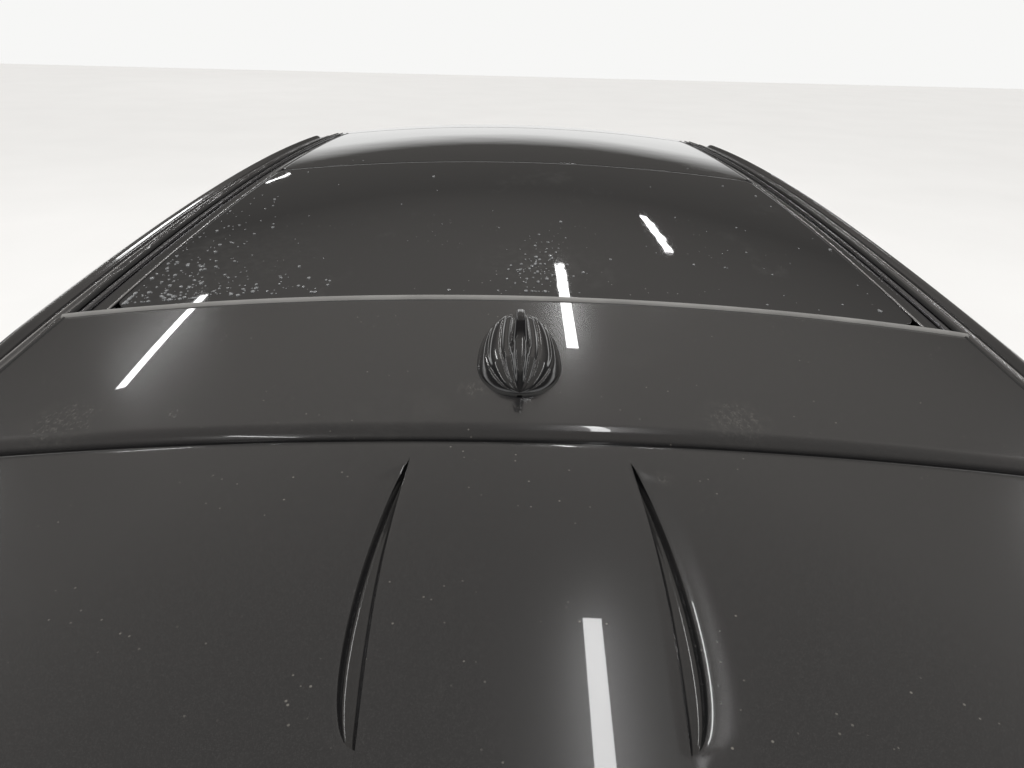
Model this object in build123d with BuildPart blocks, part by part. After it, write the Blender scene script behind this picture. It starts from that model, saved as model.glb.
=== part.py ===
from build123d import *
import os
from math import cos, sin, tan, radians, sqrt, hypot, atan2, degrees

os.makedirs("parts", exist_ok=True)

# Overall body
body_length = 4820
body_width = 1930
roof_height = 1690
floor_height = 235
wheelbase = 2890
front_overhang = 850
track_width = 1620
plan_radius = 60000
plan_centre = 100

# Body section, height by distance inboard of the widest point
sill_tuck = 75
sill_top = 305
waist_height = 905
belt_height = 1062
belt_tuck = 64
cant_height = 1590
cant_tuck = 322

# Roof, screens and bonnet
roof_peak_y = 400
roof_length_radius = 11000
roof_crown_radius = 4300
roof_edge = 548
roof_shoulder = 76
roof_front_y = -400
roof_seam_x = 548
roof_glass_x = 500
roof_glass_thickness = 6
glass_rear_y = 1215
glass_seam_y = 480
glass_front_y = -240
screen_base_y = -1215
screen_base_z = 1062
screen_radius = 3000
tail_glass_base_y = 2285
tail_glass_base_z = 1120
tail_shelf = 26
tail_glass_top_y = 1985
tail_glass_radius = 3000
bonnet_top = 1098
bonnet_peak_y = -1000
bonnet_length_radius = 4200
bonnet_crown_radius = 9000
nose_radius = 2600
tail_radius = 4200
nose_corner_radius = 360
tail_corner_radius = 300

# Panels
skin_thickness = 45
bonnet_thickness = 25
spoiler_front_y = 1548
spoiler_tip_y = 2010
spoiler_thickness = 34
crescent_x = 92
crescent_front_y = 1578
crescent_length = 262
crescent_width = 24
crescent_depth = 9
door_depth = 90
side_depth = 130
upper_depth = 85
shut_gap = 5
door_step = 5
sill_height = 345
door_flange = 55
door_taper = 0.36
low_taper = 0.16
tail_taper = 0.4
roof_gap = 8
pane_thickness = 5
pane_depth = 3
pane_clearance = 0.3
lamp_gap = 0.5
cladding_depth = 30
cladding_proud = 9

# Wheels
tyre_radius = 369
tyre_width = 250
rim_radius = 256
rim_width = 228
arch_radius = 428
arch_lip = 26
well_inner = 480
rear_well_inner = 640
hub_offset = 70
disc_face = -30
disc_thickness = 26
disc_radius = 172
hub_face = 10
spoke_pairs = 5
ball_joint_rise = 182
spring_x = 565
driver_x = 370
rail_x = 590
rail_width = 44
rail_rise = 26
antenna_y = 1345
antenna_width = 84
antenna_length = 190
antenna_height = 66
exhaust_z = 355
pipe_radius = 30
handle_length = 200
handle_height = 26
handle_proud = 8
grille_slots = 5

nose_y = -body_length / 2
tail_y = body_length / 2
front_axle_y = nose_y + front_overhang
rear_axle_y = front_axle_y + wheelbase
half_width = body_width / 2
wheel_x = track_width / 2
axis_x = half_width - plan_radius


def skin_x(height):
    """Half width of the body side at a height, at the widest place along the car."""
    if height < sill_top:
        return half_width - sill_tuck / 2
    if height < waist_height:
        return half_width - 4
    if height < belt_height:
        return half_width - 4 - (belt_tuck - 4) * (height - waist_height) / (belt_height - waist_height)
    share = (height - belt_height) / (cant_height - belt_height)
    return half_width - belt_tuck - (cant_tuck - belt_tuck) * share ** 1.15


def plan_x(height, y):
    return skin_x(height) - (y - plan_centre) ** 2 / (2 * plan_radius)


def section_edges(o, lower, upper, floor):
    """Closed line round the body section, from the far side out to the skin."""
    h = half_width
    mid = (belt_height + cant_height) / 2
    bottom = floor_height + floor
    low = Polyline((o - 1400, bottom), (o + h - sill_tuck - lower, bottom),
                   (o + h - sill_tuck / 2 - lower, max(sill_top, bottom + 10)))
    side = ThreePointArc(low @ 1, (o + h - 1 - lower, 645), (o + h - 4 - lower, waist_height))
    shoulder = ThreePointArc(side @ 1, (o + h - 20 - lower, (waist_height + belt_height) / 2 + 6),
                             (o + h - belt_tuck - lower, belt_height))
    lean = hypot(cant_tuck - belt_tuck, cant_height - belt_height) / (cant_height - belt_height)
    foot = o + h - belt_tuck - upper * lean
    if lower != upper:
        Line(shoulder @ 1, (foot, belt_height))
    glass = ThreePointArc((foot if lower != upper else o + h - belt_tuck - lower, belt_height),
                          (o + h - (belt_tuck + cant_tuck) / 2 + 22 - upper * lean, mid),
                          (o + h - cant_tuck - upper * lean, cant_height))
    Polyline(glass @ 1, (o + h - cant_tuck - 110 - upper * lean, cant_height + 190), (o - 1400, cant_height + 190),
             (o - 1400, bottom))


def body_sides(lower, upper, floor):
    """Everything between the two body sides, set in by one depth below the belt and another above."""
    turn = 4
    start = Plane(origin=(axis_x, plan_centre, 0), x_dir=(cos(radians(turn)), -sin(radians(turn)), 0),
                  z_dir=(-sin(radians(turn)), -cos(radians(turn)), 0))
    with BuildPart() as side:
        with BuildSketch(start):
            with BuildLine():
                section_edges(-axis_x, lower, upper, floor)
            make_face()
        revolve(axis=Axis((axis_x, plan_centre, 0), (0, 0, 1)), revolution_arc=2 * turn)
    return side.part & mirror(side.part, about=Plane.YZ)


def crowned(centre_y, top, length_radius, crown_radius, span, inset, edge=1100, fall=0):
    """Solid under a crowned surface that is also curved along the car, with rounded shoulders past its edge."""
    drop = crown_radius - sqrt(crown_radius ** 2 - edge ** 2)
    low_z = top - length_radius
    lean = degrees(span / length_radius)
    start = Plane(origin=(0, centre_y, low_z), x_dir=(1, 0, 0),
                  z_dir=(0, -cos(radians(lean)), sin(radians(lean))))
    rise = length_radius - inset
    half = edge - inset * 0.6
    with BuildPart() as shape:
        with BuildSketch(start):
            with BuildLine():
                crown = ThreePointArc((-half, rise - drop), (0, rise), (half, rise - drop))
                if fall:
                    right = ThreePointArc(crown @ 1, (half + fall * 0.72, rise - drop - fall * 0.34),
                                          (half + fall * 1.22, rise - drop - fall))
                    left = ThreePointArc(crown @ 0, (-half - fall * 0.72, rise - drop - fall * 0.34),
                                         (-half - fall * 1.22, rise - drop - fall))
                    Polyline(right @ 1, (half + 420, rise - 1500), (-half - 420, rise - 1500), left @ 1)
                else:
                    Polyline(crown @ 1, (half, rise - 1500), (-half, rise - 1500), crown @ 0)
            make_face()
        revolve(axis=Axis((0, centre_y, low_z), (1, 0, 0)), revolution_arc=2 * lean)
    return shape.part


def screen_drum(base, top, radius, inset):
    """Everything behind a screen that is curved across the car. base and top are (y, z) on its middle line."""
    run = hypot(top[0] - base[0], top[1] - base[1])
    along = ((top[0] - base[0]) / run, (top[1] - base[1]) / run)
    away = -1 if along[0] > 0 else 1
    normal = (away * along[1], -away * along[0])
    below = 2000
    start = Plane(origin=(0, base[0] - along[0] * below, base[1] - along[1] * below), x_dir=(away, 0, 0),
                  z_dir=(0, along[0], along[1]))
    half = 1200
    drop = radius - sqrt(radius ** 2 - half ** 2)
    with BuildPart() as drum:
        with BuildSketch(start):
            with BuildLine():
                bow = ThreePointArc((-half, -inset - drop), (0, -inset), (half, -inset - drop))
                Polyline(bow @ 1, (half, -4800), (-half, -4800), bow @ 0)
            make_face()
        extrude(amount=2 * below + run)
    return drum.part


def roof_z(y, x=0):
    return (roof_height - roof_length_radius + sqrt(roof_length_radius ** 2 - (y - roof_peak_y) ** 2)
            - roof_crown_radius + sqrt(roof_crown_radius ** 2 - x ** 2))


screen_base = (screen_base_y, screen_base_z)
screen_top = (roof_front_y, roof_z(roof_front_y))
tail_base = (tail_glass_base_y, tail_glass_base_z)
tail_top = (tail_glass_top_y, roof_z(tail_glass_top_y) - 30)


def greenhouse(roof_in, screen_in, tail_in):
    shape = crowned(roof_peak_y, roof_height, roof_length_radius, roof_crown_radius, 3400, roof_in,
                    roof_edge, roof_shoulder)
    shape = shape & screen_drum(screen_base, screen_top, screen_radius, screen_in)
    shape = shape & screen_drum(tail_base, tail_top, tail_glass_radius, tail_in)
    with BuildPart() as above:
        with Locations((0, 0, belt_height - 20)):
            Box(2200, 6000, 1200, align=(Align.CENTER, Align.CENTER, Align.MIN))
    return shape & above.part


def lower_box(inset):
    """Nose, tail and plan outline of the lower body, up to the belt."""
    with BuildPart() as profile:
        with BuildSketch(Plane.YZ):
            with BuildLine():
                nose = Polyline((nose_y + 190, floor_height), (nose_y + 30, 400))
                bow = ThreePointArc(nose @ 1, (nose_y, 600), (nose_y + 45, 800))
                Polyline(bow @ 1, (nose_y + 120, 900), (nose_y + 300, bonnet_top), (screen_base_y, bonnet_top),
                         (tail_glass_base_y + tail_shelf, tail_glass_base_z), (tail_y - 28, 960))
                stern = ThreePointArc((tail_y - 28, 960), (tail_y, 700), (tail_y - 20, 460))
                Polyline(stern @ 1, (tail_y - 160, 300), (tail_y - 300, floor_height),
                         (nose_y + 190, floor_height))
            make_face()
            if inset:
                offset(amount=-inset, kind=Kind.INTERSECTION)
        extrude(amount=1100, both=True)
    with BuildPart() as plan:
        with BuildSketch(Plane.XY.offset(floor_height - 100)):
            with BuildLine():
                wide = 840
                nose_drop = nose_radius - sqrt(nose_radius ** 2 - wide ** 2)
                tail_drop = tail_radius - sqrt(tail_radius ** 2 - wide ** 2)
                nose = ThreePointArc((-wide, nose_y + nose_drop), (0, nose_y), (wide, nose_y + nose_drop))
                tail = ThreePointArc((wide, tail_y - tail_drop), (0, tail_y), (-wide, tail_y - tail_drop))
                Polyline(nose @ 1, (1030, nose_y + 1100), (1030, tail_y - 1100), tail @ 0)
                Polyline(tail @ 1, (-1030, tail_y - 1100), (-1030, nose_y + 1100), nose @ 0)
            face = make_face()
            fronts = face.vertices().group_by(Axis.Y)[0]
            backs = face.vertices().group_by(Axis.Y)[-1]
            fillet(fronts, radius=nose_corner_radius)
            fillet(backs, radius=tail_corner_radius)
            if inset:
                offset(amount=-inset, kind=Kind.INTERSECTION)
        extrude(amount=1300)
    return profile.part & plan.part


def lower_body(inset, bonnet_in):
    box = lower_box(inset)
    with BuildPart() as rear:
        with Locations((0, bonnet_peak_y, floor_height - 50)):
            Box(2200, 4200, 1200, align=(Align.CENTER, Align.MIN, Align.MIN))
    hood = crowned(bonnet_peak_y, bonnet_top, bonnet_length_radius, bonnet_crown_radius, 1800, bonnet_in)
    front = box & hood
    back = box & rear.part
    return front + back


def body_form(lower, upper, roof_in, screen_in, tail_in, end_in, bonnet_in, floor_in):
    whole = lower_body(end_in, bonnet_in) + greenhouse(roof_in, screen_in, tail_in)
    return whole & body_sides(lower, upper, floor_in)



def box(x0, x1, y0, y1, z0, z1):
    with BuildPart() as block:
        with Locations(((x0 + x1) / 2, (y0 + y1) / 2, (z0 + z1) / 2)):
            Box(abs(x1 - x0), abs(y1 - y0), abs(z1 - z0))
    return block.part


def prism(plane, points, depth, grow=0, both=False):
    """Outline pushed along its plane's normal, grown or shrunk all round by one clearance."""
    with BuildPart() as block:
        with BuildSketch(plane):
            with BuildLine():
                Polyline(*points, close=True)
            make_face()
            if grow:
                offset(amount=grow, kind=Kind.INTERSECTION)
        extrude(amount=depth, both=both)
    return block.part


def door_prism(rows, grow):
    """Door outline as a ruled block that narrows inwards where a row says so.

    Rows are y, z and the taper of that corner: the rear edge swings out past its pillar."""
    far = half_width + 35
    near = 430
    with BuildPart() as block:
        for x in (far, near):
            points = [(y + taper * (x - plan_x(z, y)), z) for y, z, taper in rows]
            with BuildSketch(Plane.YZ.offset(x)):
                with BuildLine():
                    Polyline(*points, close=True)
                make_face()
                if grow:
                    offset(amount=grow, kind=Kind.INTERSECTION)
        loft(ruled=True)
    return block.part


def both_sides(part):
    return part + mirror(part, about=Plane.YZ)


def wheel_drum(y, radius, x0, x1):
    with BuildPart() as drum:
        with BuildSketch(Plane.YZ.offset(x0)):
            with Locations((y, tyre_radius)):
                Circle(radius)
        extrude(amount=x1 - x0)
    return drum.part



def arch_drums(radius, inner):
    """Both front wheel wells and both rear ones, as drums from the inner wall out past the skin."""
    drums = wheel_drum(front_axle_y, radius, inner[0], 1100) + wheel_drum(rear_axle_y, radius, inner[1], 1100)
    return both_sides(drums)


outer = body_form(0, 0, 0, 0, 0, 0, 0, 0)
panel_inner = body_form(door_depth, skin_thickness, skin_thickness, skin_thickness, 45, 45, bonnet_thickness, 45)
pocket_inner = body_form(door_depth + door_step, skin_thickness + door_step, 60, 60, 60, 60, 60, 60)
cabin_form = body_form(side_depth, upper_depth, skin_thickness, 45, 60, 70, 25, 70)
cabin = cabin_form & box(-1000, 1000, -1145, tail_y, 200, 1800)

# Door outlines: y, z and taper of each corner
front_door_rows = (
    (-1035, sill_height, 0), (-1035, 1035, 0), (-880, 1078, 0), (-322, 1548, 0), (-60, 1566, door_taper),
    (25, 1560, door_taper), (25, belt_height, low_taper), (25, waist_height, low_taper),
    (25, sill_height, low_taper))
rear_door_rows = (
    (38, sill_height, 0), (38, 1560, 0), (1010, 1556, door_taper), (1098, 1480, door_taper),
    (1160, 1075, low_taper), (1120, 980, low_taper), (940, 640, low_taper), (895, sill_height, low_taper))
front_glass_rows = (
    (-800, 1092, 0), (-330, 1498, 0), (-60, 1520, 0), (-48, 1092, 0))
rear_glass_rows = (
    (112, 1092, 0), (112, 1518, 0), (930, 1510, 0), (1000, 1440, 0), (1040, 1100, 0))
quarter_glass_rows = (
    (1245, 1112, 0), (1180, 1440, 0), (1230, 1478, 0), (1440, 1462, 0), (1760, 1180, 0), (1700, 1118, 0))
doors = {"front": (front_door_rows, front_glass_rows), "rear": (rear_door_rows, rear_glass_rows)}

door_shell = outer - panel_inner
body_shell = outer - cabin
well_drums = arch_drums(arch_radius + arch_lip, (well_inner, rear_well_inner))
side_panes = body_sides(pane_depth, pane_depth, 0) - body_sides(pane_depth + pane_thickness,
                                                                 pane_depth + pane_thickness, 0)


def write(part, name):
    part.label = name
    export_step(part, f"parts/{name}.step")
    print(name, len(part.solids()), round(part.volume / 1e6, 2))


# Doors with their pull handles, and their panes
handle_shell = body_sides(-handle_proud, -handle_proud, 0) - body_sides(2, 2, 0)
handle_rear_y = {"front": -20, "rear": 985}
handle_z = {"front": 905, "rear": 925}
door_pockets = []
for name, (rows, glass_rows) in doors.items():
    door = (door_shell & door_prism(rows, 0)) - door_prism(glass_rows, 0) - well_drums
    door += handle_shell & box(700, 1100, handle_rear_y[name] - handle_length, handle_rear_y[name],
                               handle_z[name] - handle_height / 2, handle_z[name] + handle_height / 2)
    pane = side_panes & door_prism(glass_rows, -pane_clearance)
    door_pockets.append(door_prism(rows, shut_gap) - pocket_inner)
    door_pockets.append(door_prism(rows, -door_flange))
    write(door, f"{name}_door_left")
    write(mirror(door, about=Plane.YZ), f"{name}_door_right")
    write(pane, f"{name}_door_glass_left")
    write(mirror(pane, about=Plane.YZ), f"{name}_door_glass_right")

def tail_y_at(height):
    """Where the tail's outer face stands at a height, on the middle line."""
    if height < tail_glass_base_z:
        return tail_y - 40
    return tail_glass_base_y - (height - tail_glass_base_z) * (tail_base[0] - tail_top[0]) / (
        tail_top[1] - tail_base[1])


def tail_prism(half, grow):
    """Outline seen from behind, as a ruled block that narrows forwards so that the lid can lift out."""
    with BuildPart() as block:
        for y in (tail_y + 60, 1700):
            side = [(max(x - tail_taper * (tail_y_at(z) - y), 0) if x else 0, z) for x, z in half]
            whole = side + [(-x, z) for x, z in side[-2:0:-1]]
            with BuildSketch(Plane(origin=(0, y, 0), x_dir=(1, 0, 0), z_dir=(0, -1, 0))):
                with BuildLine():
                    Polyline(*whole, close=True)
                make_face()
                if grow:
                    offset(amount=grow, kind=Kind.INTERSECTION)
        loft(ruled=True)
    return block.part


# Rear opening and its lid, seen from behind: x and z of the outline
tailgate_half = ((0, 700), (470, 700), (560, 735), (632, 870), (640, 1090), (520, 1530), (0, 1560))
tail_glass_half = ((0, 1165), (568, 1165), (462, 1475), (0, 1505))
tail_glass_outline = tail_glass_half + tuple((-x, z) for x, z in tail_glass_half[-2:0:-1])
tail_plane = Plane(origin=(0, 1700, 0), x_dir=(1, 0, 0), z_dir=(0, -1, 0))
tail_cut = tail_prism(tailgate_half, 0)
tail_hole = tail_prism(tailgate_half, shut_gap)
tail_glass_cut = prism(tail_plane, tail_glass_outline, -900)

# Spoiler: a long wing that carries the roof line back over the rear glass
spoiler_top = crowned(roof_peak_y, roof_height, roof_length_radius, roof_crown_radius, 3400, 0, roof_edge,
                      roof_shoulder)
spoiler_under = crowned(roof_peak_y, roof_height, roof_length_radius, roof_crown_radius, 3400, spoiler_thickness,
                        roof_edge, roof_shoulder)
with BuildPart() as spoiler_plan:
    with BuildSketch(Plane.XY.offset(1400)):
        with BuildLine():
            back = ThreePointArc((-585, spoiler_tip_y - 70), (0, spoiler_tip_y), (585, spoiler_tip_y - 70))
            Polyline(back @ 1, (612, spoiler_front_y), (-612, spoiler_front_y), back @ 0)
        face = make_face()
        fillet(face.vertices().group_by(Axis.Y)[-1], radius=45)
    extrude(amount=400)
spoiler_span = body_sides(0, 0, 0)
spoiler = (spoiler_top - spoiler_under) & spoiler_plan.part & spoiler_span
with BuildPart() as crescent:
    with BuildSketch(Plane.XY.offset(1500)):
        with BuildLine():
            tip = (crescent_x, crescent_front_y)
            heel = (crescent_x + 4, crescent_front_y + crescent_length)
            middle = crescent_front_y + crescent_length * 0.55
            inner_edge = ThreePointArc(tip, (crescent_x + 6, middle), heel)
            ThreePointArc(heel, (crescent_x + 6 + crescent_width, middle), tip)
        make_face()
    extrude(amount=300)
crescent_floor = crowned(roof_peak_y, roof_height, roof_length_radius, roof_crown_radius, 3400, crescent_depth,
                         roof_edge, roof_shoulder)
spoiler -= both_sides(crescent.part) - crescent_floor
write(spoiler, "rear_spoiler")

spoiler_zone = box(-1000, 1000, spoiler_front_y - roof_gap, spoiler_tip_y + 100, 1400, 1800)
roof_cut = spoiler_zone - crowned(roof_peak_y, roof_height, roof_length_radius, roof_crown_radius, 3400,
                                  spoiler_thickness + 8, roof_edge, roof_shoulder)
tail_form = body_form(45, 45, 60, 0, 60, 60, 25, 45)
tailgate = ((outer - tail_form) & tail_cut) - tail_glass_cut - (spoiler_zone - spoiler_under)
plate_seat = box(-268, 268, tail_y - 32, tail_y + 20, 786, 906)
tailgate -= plate_seat
write(tailgate, "tailgate")

rear_pane = ((outer - body_form(0, 0, 0, 0, pane_thickness, 0, 0, 0)) & prism(
    tail_plane, tail_glass_outline, -900, -pane_clearance)) - roof_cut
write(rear_pane, "rear_glass")

# Windscreen, seen from ahead
screen_half = ((0, 1085), (700, 1092), (590, 1560), (0, 1612))
screen_outline = screen_half + tuple((-x, z) for x, z in screen_half[-2:0:-1])
screen_plane = Plane(origin=(0, -200, 0), x_dir=(1, 0, 0), z_dir=(0, -1, 0))
screen_cut = prism(screen_plane, screen_outline, 1200)
screen_pane = (outer - body_form(0, 0, 0, pane_thickness, 0, 0, 0, 0)) & prism(
    screen_plane, screen_outline, 1200, -pane_clearance)
write(screen_pane, "windscreen")

# Bonnet, seen from above
bonnet_half = ((0, -2322), (500, -2292), (690, -2215), (742, -1120), (480, -1195), (0, -1238))
bonnet_outline = bonnet_half + tuple((-x, y) for x, y in bonnet_half[-2:0:-1])
bonnet_plane = Plane.XY.offset(820)
bonnet = (outer - panel_inner) & prism(bonnet_plane, bonnet_outline, 500)
write(bonnet, "bonnet")
bonnet_hole = prism(bonnet_plane, bonnet_outline, 500, shut_gap)

# Roof panel with two glass openings
roof_zone = box(-roof_seam_x, roof_seam_x, roof_front_y - 150, spoiler_front_y - roof_gap, 1500, 1800)
rear_pane_box = box(-roof_glass_x, roof_glass_x, glass_seam_y + 5, glass_rear_y, 1500, 1800)
front_pane_box = box(-roof_glass_x, roof_glass_x, glass_front_y, glass_seam_y - 5, 1500, 1800)
roof_light = box(-roof_glass_x + 45, roof_glass_x - 45, glass_front_y + 45, glass_seam_y - 60, 1500, 1800)
roof_light_rear = box(-roof_glass_x + 45, roof_glass_x - 45, glass_seam_y + 60, glass_rear_y - 45, 1500, 1800)
roof_tray = crowned(roof_peak_y, roof_height, roof_length_radius, roof_crown_radius, 3400, roof_glass_thickness,
                    roof_edge, roof_shoulder)
glass_bed = box(-roof_glass_x - 1, roof_glass_x + 1, glass_front_y - 1, glass_rear_y + 1, 1500, 1800) - roof_tray
roof_body = body_shell & roof_zone
roof_panel = roof_body - roof_light_rear - roof_light - glass_bed - screen_cut


def roof_layer(inset):
    return crowned(roof_peak_y, roof_height, roof_length_radius, roof_crown_radius, 3400, inset, roof_edge,
                   roof_shoulder)


header_top = roof_layer(spoiler_thickness + 28)
header = (header_top - roof_layer(spoiler_thickness + 60)) & box(
    -roof_seam_x, roof_seam_x, spoiler_front_y - 70, 1690, 1400, 1800)
header += (roof_layer(skin_thickness) - roof_layer(spoiler_thickness + 60)) & box(
    -roof_seam_x, roof_seam_x, spoiler_front_y - 70, spoiler_front_y - 40, 1400, 1800)
roof_panel += header
write(roof_panel, "roof_panel")
roof_skin = outer - roof_tray
roof_glass = roof_skin & (front_pane_box + rear_pane_box)
write(roof_glass, "roof_glass")

# Side frames
side_zone = box(roof_seam_x, 1100, -1035, tail_y, 1060, 1800) + box(700, 1100, -1035, tail_y, 200, 1070)
quarter_hole = door_prism(quarter_glass_rows, 0)
left_frame = body_shell & side_zone
for cut in door_pockets:
    left_frame = left_frame - cut
hinge_relief = box(750, 832, -1015, -862, 1024, 1048)
left_frame = left_frame - quarter_hole - well_drums - screen_cut - tail_hole - roof_cut - hinge_relief
rear_bumper_zone = box(-1100, 1100, 1780, tail_y + 50, 200, 700)
sill_zone = box(600, 1100, front_axle_y, rear_axle_y, 200, sill_height - 4)
sill_cut = (body_sides(-40, -40, 0) - body_sides(cladding_depth, cladding_depth, 0)) & sill_zone
tail_lamp_rows = ((650, 890), (652, 1000), (1000, 1000), (1000, 890))
tail_lamp_plane = Plane(origin=(0, 2050, 0), x_dir=(1, 0, 0), z_dir=(0, -1, 0))
tail_lamp_hole = prism(tail_lamp_plane, tail_lamp_rows, -600, lamp_gap)
tail_lamp_seat = body_form(40, 40, 0, 0, 0, 40, 0, 0)
tail_lamp_skin = outer - tail_lamp_seat
left_frame = left_frame - rear_bumper_zone - sill_cut - (tail_lamp_hole & tail_lamp_skin)
left_frame = left_frame.solids().sort_by(SortBy.VOLUME)[-1]
side_frames = both_sides(left_frame)
write(side_frames, "side_frames")
quarter_pane = side_panes & door_prism(quarter_glass_rows, -pane_clearance)
write(both_sides(quarter_pane), "quarter_glasses")

# Bumpers and lamps
front_skin = outer - panel_inner
bumper_side = prism(Plane.YZ, ((nose_y - 100, 200), (front_axle_y - arch_radius + 20, 200),
                               (front_axle_y - arch_radius + 20, 640), (front_axle_y - arch_radius - 160, 728),
                               (nose_y - 100, 728)), 1100, 0, True)
bumper_centre = box(-470, 470, nose_y - 100, -2240, 720, 960)
bumper_all = bumper_side + bumper_centre
front_bumper = (front_skin & bumper_all) - bonnet_hole - well_drums
slot_rise = 44
for row in range(grille_slots):
    slot_low = 668 + row * slot_rise
    slot_half = 430 - 14 * abs(row - 2)
    front_bumper -= box(-slot_half, slot_half, nose_y - 60, nose_y + 200, slot_low, slot_low + 28)
front_bumper -= box(-560, 560, nose_y - 60, nose_y + 200, 352, 402)
front_bumper -= box(-600, 600, nose_y - 60, nose_y + 200, 424, 474)
write(front_bumper, "front_bumper")
pipe_holes = both_sides(box(334, 566, 2050, tail_y + 20, 324, 396))
rear_bumper = ((outer - panel_inner) & rear_bumper_zone) - tail_hole - well_drums - pipe_holes - box(
    222, 298, 1700, 1910, 225, 330)
write(rear_bumper, "rear_bumper")
head_lamp_rows = ((476, 738), (474, 822), (760, 850), (930, 842), (930, 760))
head_lamp_plane = Plane(origin=(0, -1960, 0), x_dir=(1, 0, 0), z_dir=(0, -1, 0))
head_lamp = (outer - body_form(60, 60, 0, 0, 0, 40, 40, 0)) & prism(head_lamp_plane, head_lamp_rows, 600)
head_lamp = head_lamp - bonnet_hole
tail_lamp = tail_lamp_skin & prism(tail_lamp_plane, tail_lamp_rows, -600)
write(both_sides(head_lamp) + both_sides(tail_lamp), "lamps")

# Front wings
wing_zone = box(600, 1100, nose_y, -1040, sill_height, 1200)
head_lamp_hole = prism(head_lamp_plane, head_lamp_rows, 600, lamp_gap)
left_wing = (front_skin & wing_zone) - bonnet_hole - screen_cut - well_drums - bumper_all - head_lamp_hole
left_wing = left_wing.solids().sort_by(SortBy.VOLUME)[-1]
write(both_sides(left_wing), "front_fenders")

# Arch and sill cladding
proud = body_sides(-cladding_proud, -cladding_proud, 0) - body_sides(cladding_depth - 1, cladding_depth - 1, 0)
rings = wheel_drum(front_axle_y, arch_radius + arch_lip - 0.3, 700, 1100) + wheel_drum(
    rear_axle_y, arch_radius + arch_lip - 0.3, 700, 1100)
ring_holes = wheel_drum(front_axle_y, arch_radius, 690, 1110) + wheel_drum(rear_axle_y, arch_radius, 690, 1110)
sill_strip = box(700, 1100, front_axle_y + 300, rear_axle_y - 300, floor_height, sill_height - 5)
cladding = proud & ((rings + sill_strip) - ring_holes) & box(600, 1200, -3000, 3000, floor_height, 1000)
write(both_sides(cladding), "arch_cladding")

# Floor, bulkhead, wells and front rails
floor_y = (-1140, 520, 1040, 2275)
pan = box(-700, 700, floor_y[0], floor_y[1], 300, 318)
pan += box(-130, 130, floor_y[0], floor_y[1], 318, 430)
pan += box(-700, 700, floor_y[1], floor_y[1] + 18, 300, 470)
pan += box(-700, 700, floor_y[1], floor_y[2], 452, 470)
pan += box(-700, 700, floor_y[2] - 18, floor_y[2], 452, 610)
pan -= box(-112, 112, floor_y[0] - 10, floor_y[1] + 40, 290, 412)
boot = box(-1000, 1000, floor_y[2] - 18, floor_y[3], 592, 610) & cabin
well_shells = (arch_drums(arch_radius + arch_lip + 14, (well_inner - 14, rear_well_inner - 14)) - well_drums)
well_shells = well_shells & box(-860, 860, -3000, 3000, 300, 1000) & panel_inner
well_shells = well_shells & (cabin + box(-790, 790, -2200, -1140, 200, 1000))
bulkhead = box(-690, 690, -1165, -1140, 300, 1075) & panel_inner
cowl = (front_skin & box(-600, 600, -1330, -1040, 985, 1120)) - bonnet_hole - screen_cut
rails = box(380, 466, -2230, -1165, 430, 530)
rails = both_sides(rails)
radiator = box(-520, 520, -2262, -2230, 350, 715)
arm_slot = both_sides(box(rear_well_inner - 30, rear_well_inner + 5, rear_axle_y - 125, rear_axle_y + 125,
                          tyre_radius + 92, tyre_radius + 128))
floor_pan = (pan + boot + bulkhead - well_drums) + well_shells - arm_slot + rails + radiator + cowl
write(floor_pan, "floor_pan")

# Tyres and rims
wheel_sets = (("front_left", 1, front_axle_y), ("front_right", -1, front_axle_y),
              ("rear_left", 1, rear_axle_y), ("rear_right", -1, rear_axle_y))
half_tyre = tyre_width / 2
half_rim = rim_width / 2
for name, side, y in wheel_sets:
    centre = Plane(origin=(side * wheel_x, y, tyre_radius), x_dir=(0, 1, 0), z_dir=(side, 0, 0))
    turned = Plane(origin=(side * wheel_x, y, tyre_radius), x_dir=(side, 0, 0), z_dir=(0, -side, 0))
    spin = Axis((side * wheel_x, y, tyre_radius), (1, 0, 0))
    with BuildPart() as tyre:
        with BuildSketch(turned):
            with BuildLine():
                right = [(half_rim - 4, rim_radius + 0.3), (half_tyre, rim_radius + 46),
                         (half_tyre - 16, tyre_radius - 14), (half_tyre - 46, tyre_radius)]
                left = [(-x, radius) for x, radius in right[::-1]]
                Polyline(*right, *left, close=True)
            make_face()
        revolve(axis=spin)
    write(tyre.part, f"tyre_{name}")
    with BuildPart() as rim:
        with BuildSketch(turned):
            with BuildLine():
                Polyline((-half_rim, rim_radius - 16), (-half_rim, rim_radius), (half_rim, rim_radius),
                         (half_rim, rim_radius - 12), (half_rim - 18, rim_radius - 16),
                         (half_rim - 52, rim_radius - 16), (-half_rim + 12, rim_radius - 16), close=True)
            make_face()
        revolve(axis=spin)
        with BuildSketch(centre.offset(hub_face)):
            Circle(82)
        extrude(amount=half_rim - 26 - hub_face)
        with BuildSketch(centre.offset(half_rim - 54)):
            with PolarLocations(0, spoke_pairs):
                with Locations((150, 22), (150, -22)):
                    Rectangle(200, 20)
            Circle(rim_radius - 10, mode=Mode.INTERSECT)
        extrude(amount=26)
        with BuildSketch(centre.offset(disc_face)):
            Circle(disc_radius)
        extrude(amount=disc_thickness)
        with BuildSketch(centre.offset(disc_face + disc_thickness)):
            Circle(82)
        extrude(amount=hub_face - disc_face - disc_thickness + 1)
    write(rim.part, f"rim_{name}")

# Front knuckles with calipers, and the rear ones carried by their arms
hub_x = wheel_x - hub_offset


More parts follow.
